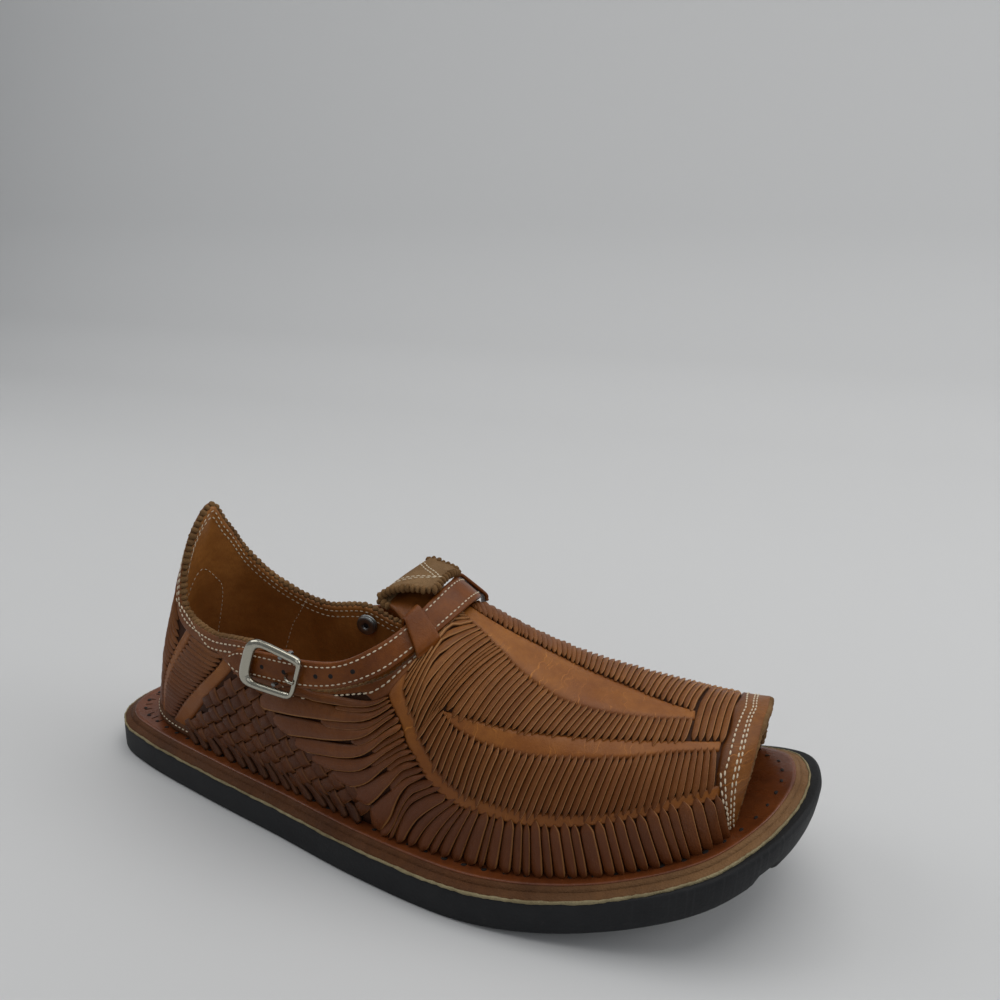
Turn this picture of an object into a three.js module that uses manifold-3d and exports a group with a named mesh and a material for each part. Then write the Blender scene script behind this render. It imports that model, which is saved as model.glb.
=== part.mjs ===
// Huarache sandal, right shoe: a woven leather upper with an open toe, a pulled-up heel tab and a
// curled tongue, on a leather footbed and a tyre-rubber sole. Units are millimetres, +X points to
// the toe, +Y to the medial side and +Z up. The tables measure from the back of the heel along the
// ground; the origin of the finished group is the middle of the heel's flat rest.

import * as THREE from 'three';
import { mergeVertices } from 'three/addons/utils/BufferGeometryUtils.js';
import Module from 'manifold-3d';

const wasm = await Module();
wasm.setup();

// ---------------------------------------------------------------- driving dimensions

const SHOE_LENGTH = 300;
const HEEL_REST_X = 48;          // the origin's place along the sole

const GAP = 0.3;                 // clearance between touching pieces
const RUBBER_THICKNESS = 12;
const MIDSOLE_THICKNESS = 1.7;
const INSOLE_THICKNESS = 1.3;
const MIDSOLE_INSET = 2.6;       // how far the cut leather edge slopes in
const INSOLE_INSET = 5.2;
const EDGE_STEP = 0.4;           // how far each layer starts inside the one below it

const TOE_SPRING = 30.5;         // rise of the sole's underside at the toe tip
const SPRING_START_X = 185;
const TOE_FLARE = 4;             // how far the rubber stands out past the leather at the toe
const TOE_FLARE_BELOW = 2.5;     // the same at its bottom edge
const FLARE_START_X = 240;
const TREAD_DEPTH = 2.5;
const TREAD_MIN_WIDTH = 45;      // no grooves where the sole is narrower than this
const TOE_NOTCH = { x: 289, y: -26, length: 40, width: 4.5, depth: 3.2, turn: 0.5 };

const WALL = 2.2;                // leather of the upper
const STRAP_THICKNESS = 2.4;
const TONGUE_THICKNESS = 2.0;
const KEEPER_THICKNESS = 1.6;
const KEEPER_WIDTH = 9;

const RIVET = {
  shankRadius: 1.5, capRadius: 4.5, capHeight: 1.2, capFlat: 3.6, capEdge: 0.85, flangeRadius: 5,
  flangeHeight: 0.8, flangeFlat: 4.6, clearance: 0.3,
};
const MEDIAL_GRIP = 8.4;         // leather and air held between a rivet's cap and its inner ring
const LATERAL_GRIP = 7;
const LATERAL_RIVET_X = -17;     // from the middle of the buckle

const BUCKLE = {
  length: 25.5, height: 17.6, barThickness: 2.4, frontBar: 2.2, backBar: 5, sideBar: 2.6,
  corner: 4, pivotRadius: 0.9, pivotX: -1.5, postLength: 2.4, postWidth: 1.6, lift: 0.8, turn: 8,
};
const PRONG = { radius: 0.85, hole: 1.9, holeX: 4.7, eyeWall: 0.9, eyeWidth: 2.4 };
const CHAPE = {
  width: 11, thickness: 1.4, length: 24, wrap: 0.5, slotLength: 12, slotWidth: 3.2,
  droop: 0.3,                    // how far its tail falls away from the buckle's own direction
};

// ---------------------------------------------------------------- tables

// The sole's outline seen from above: a row for each cross line from heel to toe.
// Columns: place, x, lateral y, medial y
const SOLE_OUTLINE = [
  ['heel round', 3, -13.6, 14.4],
  ['heel corner', 12, -23.8, 25.5],
  ['heel', 30, -30.8, 33.1],
  ['heel front', 70, -39.7, 35.6],
  ['waist', 110, -47.1, 37.3],
  ['arch', 150, -54.9, 45.1],
  ['ball', 190, -59.2, 55.3],
  ['tread', 220, -57.0, 56.9],
  ['toes', 250, -50.2, 52.5],
  ['toe shoulder', 275, -39.2, 45.0],
  ['toe round', 290, -22.3, 35.7],
  ['toe tip', 297, -7.2, 26.5],
];
const HEEL_POINT = [0, 0.3];
const TOE_POINT = [SHOE_LENGTH, 9.5];

// Tread of the underside: how deep it is at a fraction of the way from the lateral to the medial edge.
// Columns: fraction across, groove depth as a share of TREAD_DEPTH
const TREAD_ACROSS = [
  [0, 0], [0.16, 0], [0.18, 1], [0.24, 1], [0.26, 0], [0.36, 0], [0.38, 1], [0.43, 1], [0.45, 0],
  [0.57, 0], [0.59, 1], [0.64, 1], [0.66, 0], [0.76, 0], [0.78, 1], [0.84, 1], [0.86, 0], [1, 0],
];
const TREAD_START_X = 14;
const TREAD_END_X = 282;

// Sections of the upper, each a line up the wall from the footbed to the top line.
// "bulge" pushes the middle of the wall out; "arch" 1 closes over the foot as a vault and 0 stands
// up as a straight wall; "full" squares the vault's shoulder.
// Columns: place, foot x, foot y, top x, top y, top z, bulge, arch, full
const LATERAL_SECTIONS = [
  ['toe opening', 277, -18, 283, 8, 67, 3, 1, 2.3],
  ['toe band', 266, -30, 270, 7, 65.5, 4, 1, 2.3],
  ['front tread', 243, -40, 243, 5, 66, 5, 1, 2.3],
  ['ball', 215, -45.5, 215, 4, 70, 5, 1, 2.2],
  ['instep front', 190, -46, 190, 3, 78, 4, 1, 2.2],
  ['throat', 170, -46, 168, 2, 87, 3, 1, 2.3],
  ['throat side', 160, -45, 161, -25, 78, 4, 0.75, 2.3],
  ['under strap', 145, -43, 149, -35, 69, 4, 0.35, 2],
  ['waist', 118, -38, 121, -36, 60, 3, 0.15, 2],
  ['buckle wing', 92, -33, 94, -32, 71, 1.5, 0, 2],
  ['heel side', 62, -27, 68, -27, 69, 3, 0, 2],
  ['heel quarter', 35, -20, 45, -17, 74, 3.5, 0, 2],
  ['heel corner', 21, -10, 44, -11, 98, 1.5, 0, 2],
  ['heel tab', 16.5, 2, 47, 0, 114, 0.5, 0, 2],
];
const MEDIAL_SECTIONS = [
  ['toe opening', 281, 34, 283, 8, 67, 3, 1, 2.3],
  ['toe band', 270, 38, 270, 7, 65.5, 4, 1, 2.3],
  ['front tread', 246, 43, 243, 5, 66, 5, 1, 2.3],
  ['ball', 215, 45, 215, 4, 70, 5, 1, 2.2],
  ['instep front', 190, 41, 190, 3, 78, 4, 1, 2.2],
  ['throat', 170, 36, 168, 2, 87, 3, 1, 2.3],
  ['throat side', 158, 34, 160, 24, 78, 4, 0.75, 2.3],
  ['under strap', 142, 32, 147, 31, 69, 4, 0.35, 2],
  ['waist', 122, 31, 124, 33, 61, 3, 0.15, 2],
  ['rivet wing', 103, 31, 106, 31.5, 66.5, 2.5, 0, 2],
  ['wing back', 82, 30, 85, 30, 64.5, 2.5, 0, 2],
  ['heel side', 62, 29, 66, 25, 73, 4, 0, 2],
  ['heel quarter', 35, 22, 52, 18, 88, 3, 0, 2],
  ['heel corner', 21, 13, 49, 8, 104, 1, 0, 2],
];
const THROAT_ROW = 5;            // up to here the lateral and medial walls meet along the ridge
const SECTION_STEPS = 3;
const WALL_STEPS = 9;

// The tongue behind the throat: a sheet that rises under the strap, curls back on itself and ends
// in a point. "drop" lowers both side edges; "tilt" raises the medial edge over the lateral one and
// "skew" brings it forward.
// Columns: place, x, z, half width, drop, tilt, skew
const TONGUE_ROWS = [
  ['under strap', 161.5, 89.4, 22, 9, 0, 0],
  ['behind strap', 154, 91.6, 20, 8, 0, 0],
  ['rise', 147, 92, 17, 4, 0, 0],
  ['curl start', 142.5, 91.4, 14, 2, 0.5, 1],
  ['curl back', 140, 94, 13, 1, 2.5, 3],
  ['curl top', 144, 97.6, 12.5, 0.5, 3.5, 3],
  ['flap', 151, 99.2, 11, 0.5, 2.5, 1],
  ['flap front', 157, 99.8, 7, 0.5, 1.2, 0],
  ['point', 162, 99.4, 1.5, 0, 0.3, 0],
];
const TONGUE_ACROSS = 8;
const TONGUE_STEPS = 3;
const TONGUE_CENTRE_Y = 2;
const TONGUE_SEAM = 2.4;         // from the throat's edge to the tongue's first row

// The strap, as its front or lower edge and its back or upper edge.
// Columns: place, lower x, y, z, upper x, y, z
const STRAP_ROWS = [
  ['medial end', 94, 37, 51.8, 93, 36, 63.2],
  ['medial rivet', 107, 37.5, 53, 106, 36.5, 64.4],
  ['medial wing', 124, 38, 58.5, 121.5, 37, 70],
  ['medial rise', 143, 36.5, 68.5, 138.5, 35, 79],
  ['medial shoulder', 160.5, 28, 79.8, 154, 24, 87.3],
  ['medial crown', 169, 13.5, 88, 159.5, 12, 94.8],
  ['crown', 171, 2, 90.6, 160.5, 2, 96.8],
  ['lateral crown', 168.5, -10, 87.8, 159, -9, 94],
  ['lateral shoulder', 160.5, -28, 79.8, 154.3, -23.5, 87],
  ['lateral rise', 151.5, -37, 73, 147.3, -35, 82],
  ['lateral wing', 138, -41.2, 67.3, 136.8, -40.4, 77],
  ['buckle front', 122, -42.6, 64.2, 122, -41.8, 75],
  ['buckle back', 101.5, -42, 63.4, 102, -41.2, 74.2],
  ['tip root', 91.5, -40.8, 62.4, 92, -40, 72.6],
  ['tip', 86, -39.6, 66.4, 86, -39.4, 68.4],
];
const STRAP_STEPS = 4;
const STRAP_ACROSS = 2;
const MEDIAL_RIVET_ROW = 1;
const MEDIAL_KEEPER_ROW = 4.3;
const LATERAL_KEEPER_ROW = 7.7;
const BUCKLE_ROW = 11.45;

// How a keeper crosses over the strap, from its back foot to its front foot.
// Columns: place, edge the point is measured from (1 upper, 0 lower), past the edge, out of the strap
const KEEPER_PATH = [
  ['back foot', 1, 2.2, -5.4],
  ['back bend', 1, 2.2, 0.2],
  ['upper corner', 1, 1.3, 2.3],
  ['over upper edge', 1, -1.5, 2.6],
  ['over lower edge', 0, -1.5, 2.6],
  ['lower corner', 0, 1.3, 2.3],
  ['front bend', 0, 2.2, 1.4],
  ['front foot', 0, 3, 0.8],
];

// The prong, from its eye to the tip that rests on the buckle's front bar.
// Columns: place, x from the pivot, z from the strap's middle
const PRONG_PATH = [
  ['eye', 2, -4.5],
  ['below hole', 4.3, -1.8],
  ['in hole', 4.6, 0.6],
  ['above hole', 6, 3.4],
  ['behind bar', 10.6, 5.55],
  ['tip', 13.8, 5.5],
];

// ---------------------------------------------------------------- helpers

function vec(x, y, z) {
  return new THREE.Vector3(x, y, z);
}

function blend(a, b, share) {
  return a.clone().lerp(b, share);
}

/** Number row at place t of a table, on a smooth curve through its rows. */
function smoothRow(rows, t) {
  const last = rows.length - 1;
  const i = Math.min(Math.max(Math.floor(t), 0), last - 1);
  const s = t - i;
  const b = rows[i];
  const c = rows[i + 1];
  const a = rows[i - 1] ?? b.map((v, k) => 2 * v - c[k]);
  const d = rows[i + 2] ?? c.map((v, k) => 2 * v - b[k]);
  return b.map((v, k) => 0.5 * (2 * v + (c[k] - a[k]) * s
    + (2 * a[k] - 5 * v + 4 * c[k] - d[k]) * s * s
    + (3 * v - a[k] - 3 * c[k] + d[k]) * s * s * s));
}

function numbers(table) {
  return table.map((row) => row.slice(1));
}

/** Closed geometry from lists of four-cornered faces; corners that meet are shared. */
function solidFrom(quads) {
  const index = new Map();
  const points = [];
  const faces = [];
  const idOf = (p) => {
    const key = [p.x, p.y, p.z].map((v) => Math.round(v * 1e4)).join();
    if (!index.has(key)) {
      index.set(key, points.length / 3);
      points.push(p.x, p.y, p.z);
    }
    return index.get(key);
  };
  for (const [a, b, c, d] of quads.map((quad) => quad.map(idOf))) {
    for (const [p, q, r] of [[a, b, c], [a, c, d]]) {
      if (p !== q && q !== r && r !== p) faces.push(p, q, r);
    }
  }
  const geometry = new THREE.BufferGeometry();
  geometry.setAttribute('position', new THREE.Float32BufferAttribute(points, 3));
  geometry.setIndex(signedVolume(points, faces) < 0 ? faces.toReversed() : faces);
  return geometry;
}

function signedVolume(points, faces) {
  let volume = 0;
  for (let f = 0; f < faces.length; f += 3) {
    const [a, b, c] = [0, 1, 2].map((k) => vec(...points.slice(faces[f + k] * 3, faces[f + k] * 3 + 3)));
    volume += a.dot(b.cross(c)) / 6;
  }
  return volume;
}

function gridQuads(grid) {
  const quads = [];
  for (let i = 0; i + 1 < grid.length; i += 1) {
    for (let j = 0; j + 1 < grid[i].length; j += 1) {
      quads.push([grid[i][j], grid[i + 1][j], grid[i + 1][j + 1], grid[i][j + 1]]);
    }
  }
  return quads;
}

/** A sheet with thickness: two matching grids of points and the rims between them. */
function sheetQuads(front, back, topRimOpen = () => false) {
  const rows = front.length - 1;
  const columns = front[0].length - 1;
  const quads = gridQuads(front);
  quads.push(...gridQuads(back).map((quad) => quad.toReversed()));
  for (let i = 0; i < rows; i += 1) {
    quads.push([front[i + 1][0], front[i][0], back[i][0], back[i + 1][0]]);
    if (!topRimOpen(i)) {
      quads.push([front[i][columns], front[i + 1][columns], back[i + 1][columns], back[i][columns]]);
    }
  }
  for (let j = 0; j < columns; j += 1) {
    quads.push([front[0][j], front[0][j + 1], back[0][j + 1], back[0][j]]);
    quads.push([front[rows][j + 1], front[rows][j], back[rows][j], back[rows][j + 1]]);
  }
  return quads;
}

/** Unit normals of a grid of points, from its neighbours in both directions. */
function gridNormals(grid) {
  return grid.map((row, i) => row.map((point, j) => {
    const along = (grid[i + 1] ?? grid[i])[j].clone().sub((grid[i - 1] ?? grid[i])[j]);
    const across = (row[j + 1] ?? point).clone().sub(row[j - 1] ?? point);
    return along.cross(across).normalize();
  }));
}

/** Sheet of even thickness around a grid of middle points. */
function sheetAround(grid, thickness) {
  const normals = gridNormals(grid);
  const shifted = (side) => grid.map((row, i) => row.map((point, j) => (
    point.clone().addScaledVector(normals[i][j], side * thickness / 2))));
  return solidFrom(sheetQuads(shifted(1), shifted(-1)));
}

function toManifold(geometry) {
  const bare = geometry.clone();
  bare.deleteAttribute('normal');
  bare.deleteAttribute('uv');
  const merged = mergeVertices(bare, 1e-4);
  return new wasm.Manifold(new wasm.Mesh({
    numProp: 3,
    vertProperties: new Float32Array(merged.attributes.position.array),
    triVerts: new Uint32Array(merged.index.array),
  }));
}

function fromManifold(manifold) {
  const mesh = manifold.getMesh();
  const geometry = new THREE.BufferGeometry();
  geometry.setAttribute('position', new THREE.Float32BufferAttribute(mesh.vertProperties, 3));
  geometry.setIndex(Array.from(mesh.triVerts));
  return geometry;
}

function cut(geometry, ...tools) {
  return fromManifold(tools.reduce((body, tool) => body.subtract(toManifold(tool)), toManifold(geometry)));
}

function joined(geometry, ...others) {
  return fromManifold(others.reduce((body, other) => body.add(toManifold(other)), toManifold(geometry)));
}

/** Matrix of a frame at a place, with its x along "along" and its z along "out". */
function frameAt(place, along, out) {
  const x = along.clone().normalize();
  const y = out.clone().cross(x).normalize();
  const z = x.clone().cross(y);
  return new THREE.Matrix4().makeBasis(x, y, z).setPosition(place);
}

const leather = (name, colour, roughness) => new THREE.MeshStandardMaterial({
  name, color: colour, roughness, metalness: 0,
});
const FINISH = {
  tan: leather('tan leather', 0x8f6740, 0.55),
  woven: leather('woven leather', 0x734e32, 0.6),
  footbed: leather('footbed leather', 0x502d1c, 0.4),
  rubber: leather('tyre rubber', 0x28292b, 0.8),
  nickel: new THREE.MeshStandardMaterial({
    name: 'nickel', color: 0xc9c6be, roughness: 0.25, metalness: 1,
  }),
};

const shoe = new THREE.Group();
shoe.position.x = -HEEL_REST_X;

function place(name, geometry, material, parent = shoe) {
  const mesh = new THREE.Mesh(geometry, material);
  mesh.name = name;
  parent.add(mesh);
  return mesh;
}

// ---------------------------------------------------------------- sole

/** Rise of the sole at x: flat from the heel to the ball, then curving up to the toe. */
function springAt(x) {
  const reach = Math.max(0, (x - SPRING_START_X) / (SHOE_LENGTH - SPRING_START_X));
  return TOE_SPRING * reach * reach;
}

const outlinePoints = [
  vec(...HEEL_POINT, 0),
  ...SOLE_OUTLINE.map(([, x, lateral]) => vec(x, lateral, 0)),
  vec(...TOE_POINT, 0),
  ...SOLE_OUTLINE.map(([, x, , medial]) => vec(x, medial, 0)).toReversed(),
];
const outline = new THREE.CatmullRomCurve3(outlinePoints, true, 'centripetal');
const OUTLINE_STEPS = 3 * outlinePoints.length;

/** The outline moved inwards, at a height above the underside. */
function soleLoop(inset, height, flare = 0) {
  return Array.from({ length: OUTLINE_STEPS }, (_, k) => {
    const t = k / OUTLINE_STEPS;
    const point = outline.getPoint(t);
    const ahead = outline.getPoint((t + 1e-3) % 1);
    const behind = outline.getPoint((t + 1 - 1e-3) % 1);
    const tangent = ahead.sub(behind).normalize();
    const toToe = Math.max(0, (point.x - FLARE_START_X) / (SHOE_LENGTH - FLARE_START_X));
    const shift = inset - flare * Math.min(1, toToe);
    point.x -= tangent.y * shift;
    point.y += tangent.x * shift;
    point.z = springAt(point.x) + height;
    return point;
  });
}

/** Cross lines over a loop, from each lateral point to the medial point opposite. */
function capGrid(loop, fractions, heightAt) {
  const half = loop.length / 2;
  return Array.from({ length: half + 1 }, (_, k) => {
    const lateral = loop[k];
    const medial = loop[(loop.length - k) % loop.length];
    return fractions.map((fraction) => {
      const point = blend(lateral, medial, fraction);
      const edge = fraction === 0 || fraction === 1;
      if (!edge) point.z = heightAt(point.x, fraction, lateral.distanceTo(medial));
      return point;
    });
  });
}

/** A sole layer from stacked loops, the first lowest; its underside may be shaped. */
function soleLayer(loops, underFractions, underHeight) {
  const top = loops.at(-1);
  const bottom = loops[0];
  const topRise = top[0].z - springAt(top[0].x);
  const even = [0, 0.2, 0.4, 0.6, 0.8, 1];
  const closed = loops.map((loop) => [...loop, loop[0]]);
  const quads = gridQuads(closed);
  const cap = capGrid(top, even, (x) => springAt(x) + topRise);
  const base = capGrid(bottom, underFractions ?? even, underHeight);
  quads.push(...gridQuads(cap).map((quad) => quad.toReversed()));
  quads.push(...gridQuads(base));
  return solidFrom(quads);
}

function makeOutsole() {
  const middle = RUBBER_THICKNESS / 2;
  const loops = [
    soleLoop(0, 0, TOE_FLARE_BELOW),
    soleLoop(0, middle, TOE_FLARE),
    soleLoop(0, RUBBER_THICKNESS, 0),
  ];
  const depthAt = (x, fraction, width) => {
    const groove = TREAD_ACROSS.find(([place]) => place === fraction)[1];
    const inside = x > TREAD_START_X && x < TREAD_END_X && width > TREAD_MIN_WIDTH;
    return springAt(x) + (inside ? groove * TREAD_DEPTH : 0);
  };
  const body = soleLayer(loops, TREAD_ACROSS.map(([fraction]) => fraction), depthAt);
  const notch = new THREE.BoxGeometry(TOE_NOTCH.width, TOE_NOTCH.length, 2 * TOE_NOTCH.depth);
  const slope = Math.atan(2 * TOE_SPRING * (TOE_NOTCH.x - SPRING_START_X)
    / (SHOE_LENGTH - SPRING_START_X) ** 2);
  notch.rotateY(-slope);
  notch.rotateZ(-TOE_NOTCH.turn);
  notch.translate(TOE_NOTCH.x, TOE_NOTCH.y, springAt(TOE_NOTCH.x));
  return cut(body, notch);
}

const MIDSOLE_Z = RUBBER_THICKNESS + GAP;
const INSOLE_Z = MIDSOLE_Z + MIDSOLE_THICKNESS + GAP;
const FOOTBED_Z = INSOLE_Z + INSOLE_THICKNESS;

function makeLeatherLayer(insetBelow, insetAbove, bottom, thickness) {
  const loops = [soleLoop(insetBelow, bottom), soleLoop(insetAbove, bottom + thickness)];
  return soleLayer(loops, null, (x) => springAt(x) + bottom);
}

// ---------------------------------------------------------------- upper

const sectionRows = [
  ...numbers(LATERAL_SECTIONS),
  ...numbers(MEDIAL_SECTIONS).toReversed(),
];
const LAST_SECTION = sectionRows.length - 1;
const ridgeRows = numbers(LATERAL_SECTIONS).slice(0, THROAT_ROW + 1);
const collarRows = sectionRows.slice(THROAT_ROW, LAST_SECTION - THROAT_ROW + 1);

/** One section of the upper at place t, counted in table rows from the lateral toe opening. */
function sectionAt(t) {
  const [footX, footY, , , , bulge, arch, full] = smoothRow(sectionRows, t);
  const fromEnd = LAST_SECTION - t;
  let top;
  if (t <= THROAT_ROW) top = smoothRow(ridgeRows, t);
  else if (fromEnd <= THROAT_ROW) top = smoothRow(ridgeRows, fromEnd);
  else top = smoothRow(collarRows, t - THROAT_ROW);
  const step = 1e-3;
  const ahead = smoothRow(sectionRows, t + step);
  const behind = smoothRow(sectionRows, t - step);
  const out = vec(-(ahead[1] - behind[1]), ahead[0] - behind[0], 0).normalize();
  const foot = vec(footX, footY, springAt(footX) + FOOTBED_Z + GAP);
  return { foot, top: vec(top[2], top[3], top[4]), bulge, arch, full, out };
}

/** Point of the upper's outer surface: t along the shoe, v from the footbed (0) to the top (1). */
function upperPoint(t, v) {
  const { foot, top, bulge, arch, full, out } = sectionAt(t);
  const angle = v * Math.PI / 2;
  const vaultIn = 1 - Math.max(Math.cos(angle), 0) ** (2 / full);
  const vaultUp = Math.sin(angle) ** (2 / full);
  const shareIn = arch * vaultIn + (1 - arch) * v;
  const shareUp = arch * vaultUp + (1 - arch) * v;
  const point = vec(
    foot.x + (top.x - foot.x) * shareIn,
    foot.y + (top.y - foot.y) * shareIn,
    foot.z + (top.z - foot.z) * shareUp,
  );
  return point.addScaledVector(out, bulge * Math.sin(Math.PI * v));
}

/** Unit normal of the upper, pointing away from the foot. */
function upperNormal(t, v) {
  const step = 0.01;
  const clamp = (value, high) => Math.min(Math.max(value, 0), high);
  const tangentT = upperPoint(clamp(t + step, LAST_SECTION), v)
    .sub(upperPoint(clamp(t - step, LAST_SECTION), v));
  const tangentV = upperPoint(t, clamp(v + step, 1)).sub(upperPoint(t, clamp(v - step, 1)));
  return tangentV.cross(tangentT).normalize();
}

function isRidge(t) {
  return t <= THROAT_ROW || t >= LAST_SECTION - THROAT_ROW;
}

function makeUpper() {
  const outer = [];
  const inner = [];
  const count = LAST_SECTION * SECTION_STEPS;
  for (let i = 0; i <= count; i += 1) {
    const t = i / SECTION_STEPS;
    const outerRow = [];
    const innerRow = [];
    for (let j = 0; j <= WALL_STEPS; j += 1) {
      const v = j / WALL_STEPS;
      const point = upperPoint(t, v);
      const normal = upperNormal(t, v);
      if (j === 0) normal.setZ(0).normalize();
      if (j === WALL_STEPS && isRidge(t)) {
        normal.add(upperNormal(LAST_SECTION - t, v)).normalize();
      }
      const inside = point.clone().addScaledVector(normal, -WALL);
      if (j === 0) inside.z = springAt(inside.x) + FOOTBED_Z + GAP;
      outerRow.push(point);
      innerRow.push(inside);
    }
    outer.push(outerRow);
    inner.push(innerRow);
  }
  const ridgeEdge = (i) => isRidge(i / SECTION_STEPS) && isRidge((i + 1) / SECTION_STEPS);
  return solidFrom(sheetQuads(outer, inner, ridgeEdge));
}

// ---------------------------------------------------------------- strap, tongue and keepers

const strapRows = numbers(STRAP_ROWS);

/** Both edges of the strap, the way across it and its outward normal at place t. */
function strapAt(t) {
  const step = 0.02;
  const edges = (s) => {
    const row = smoothRow(strapRows, Math.min(Math.max(s, 0), strapRows.length - 1));
    return [vec(...row.slice(0, 3)), vec(...row.slice(3, 6))];
  };
  const middle = (s) => blend(...edges(s), 0.5);
  const [lower, upper] = edges(t);
  const up = upper.clone().sub(lower).normalize();
  const along = middle(t + step).sub(middle(t - step)).normalize();
  const out = up.clone().cross(along).normalize();
  return { lower, upper, up, along, out, middle: middle(t) };
}

function makeStrap(rivet, prongHole) {
  const grid = [];
  for (let i = 0; i <= (strapRows.length - 1) * STRAP_STEPS; i += 1) {
    const { lower, upper } = strapAt(i / STRAP_STEPS);
    grid.push(Array.from({ length: STRAP_ACROSS + 1 }, (_, j) => blend(lower, upper, j / STRAP_ACROSS)));
  }
  return cut(sheetAround(grid, STRAP_THICKNESS), rivet, prongHole);
}

/** The tongue starts as a copy of the throat's edge, so that it carries the vamp's form on. */
function makeTongue() {
  const tongueRows = numbers(TONGUE_ROWS);
  const reach = 0.95;            // how many table rows of the throat edge each side of the ridge
  const start = [];
  for (let m = 0; m <= TONGUE_ACROSS; m += 1) {
    const side = m / TONGUE_ACROSS * 2 - 1;
    const t = side <= 0
      ? THROAT_ROW + reach * -side
      : LAST_SECTION - THROAT_ROW - reach * side;
    const edge = upperPoint(t, 1);
    const below = upperPoint(t, 0.97);
    const onward = edge.clone().sub(below).setY(0).setX(-Math.abs(edge.x - below.x) - 1).normalize();
    edge.addScaledVector(upperNormal(t, 0.98), -WALL / 2);
    start.push(edge.addScaledVector(onward, TONGUE_SEAM));
  }
  const tableRow = (s) => {
    const [x, z, half, drop, tilt, skew] = smoothRow(tongueRows, s);
    return start.map((_, m) => {
      const side = m / TONGUE_ACROSS * 2 - 1;
      return vec(x + skew * side, TONGUE_CENTRE_Y + half * side, z - drop * side * side + tilt * side);
    });
  };
  const grid = [start];
  const lastStep = (tongueRows.length - 1) * TONGUE_STEPS;
  for (let k = 0; k <= lastStep; k += 1) grid.push(tableRow(k / TONGUE_STEPS));
  return sheetAround(grid, TONGUE_THICKNESS);
}

/** A strip of the tongue's leather that the strap passes under. */
function makeKeeper(row) {
  const pitch = strapAt(row + 0.5).middle.distanceTo(strapAt(row - 0.5).middle);
  const halfRows = KEEPER_WIDTH / 2 / pitch;
  const grid = [-1, -0.5, 0, 0.5, 1].map((share) => {
    const { lower, upper, up, out } = strapAt(row + share * halfRows);
    return KEEPER_PATH.map(([, fromUpper, past, rise]) => {
      const base = fromUpper ? upper.clone() : lower.clone();
      return base.addScaledVector(up, fromUpper ? past : -past).addScaledVector(out, rise);
    });
  });
  return sheetAround(grid, KEEPER_THICKNESS);
}

// ---------------------------------------------------------------- rivets, buckle and chape

/** Rivet along +Z: z = 0 is the outer face of the leather, "grip" the leather held below it. */
function rivetGeometry(grip) {
  const { shankRadius, capRadius, capHeight, flangeRadius, flangeHeight } = RIVET;
  const profile = [
    [0, -grip - GAP - flangeHeight],
    [RIVET.flangeFlat, -grip - GAP - flangeHeight],
    [flangeRadius, -grip - GAP],
    [shankRadius, -grip - GAP],
    [shankRadius, GAP],
    [capRadius, GAP],
    [RIVET.capFlat, GAP + RIVET.capEdge],
    [0, GAP + capHeight],
  ];
  const geometry = new THREE.LatheGeometry(profile.map(([r, z]) => new THREE.Vector2(r, z)), 20);
  return geometry.rotateX(Math.PI / 2);
}

function boreGeometry(radius, depth) {
  return new THREE.CylinderGeometry(radius, radius, depth, 16).rotateX(Math.PI / 2);
}

/** The buckle is built flat: x towards the toe, y up the strap and z out; the strap is z = 0. */
const BUCKLE_LEVEL = STRAP_THICKNESS / 2 + BUCKLE.lift;
const EYE_RADIUS = BUCKLE.pivotRadius + GAP + PRONG.eyeWall;
const PIVOT_Z = -(STRAP_THICKNESS / 2 + 2 * GAP + EYE_RADIUS);

function roundedBox(left, right, halfHeight, radius) {
  const shape = new THREE.Shape();
  shape.moveTo(left + radius, -halfHeight);
  shape.lineTo(right - radius, -halfHeight);
  shape.quadraticCurveTo(right, -halfHeight, right, -halfHeight + radius);
  shape.lineTo(right, halfHeight - radius);
  shape.quadraticCurveTo(right, halfHeight, right - radius, halfHeight);
  shape.lineTo(left + radius, halfHeight);
  shape.quadraticCurveTo(left, halfHeight, left, halfHeight - radius);
  shape.lineTo(left, -halfHeight + radius);
  shape.quadraticCurveTo(left, -halfHeight, left + radius, -halfHeight);
  return shape;
}

function makeBuckleFrame() {
  const { length, height, barThickness, frontBar, backBar, sideBar, corner, pivotRadius } = BUCKLE;
  const half = length / 2;
  const shape = roundedBox(-half, half, height / 2, corner);
  shape.holes.push(roundedBox(-half + backBar, half - frontBar, height / 2 - sideBar, corner / 3));
  const ring = new THREE.ExtrudeGeometry(shape, {
    depth: barThickness, bevelEnabled: false, curveSegments: 4,
  });
  ring.translate(0, 0, BUCKLE_LEVEL);
  const sideY = height / 2 - sideBar / 2;
  const posts = [-sideY, sideY].map((y) => {
    const tall = BUCKLE_LEVEL + barThickness / 4 - PIVOT_Z + pivotRadius;
    const post = new THREE.BoxGeometry(BUCKLE.postLength, BUCKLE.postWidth, tall);
    return post.translate(BUCKLE.pivotX, y, PIVOT_Z - pivotRadius + tall / 2);
  });
  const pivot = new THREE.CylinderGeometry(pivotRadius, pivotRadius, 2 * sideY, 12);
  pivot.translate(BUCKLE.pivotX, 0, PIVOT_Z);
  return joined(ring, ...posts, pivot);
}

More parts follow.
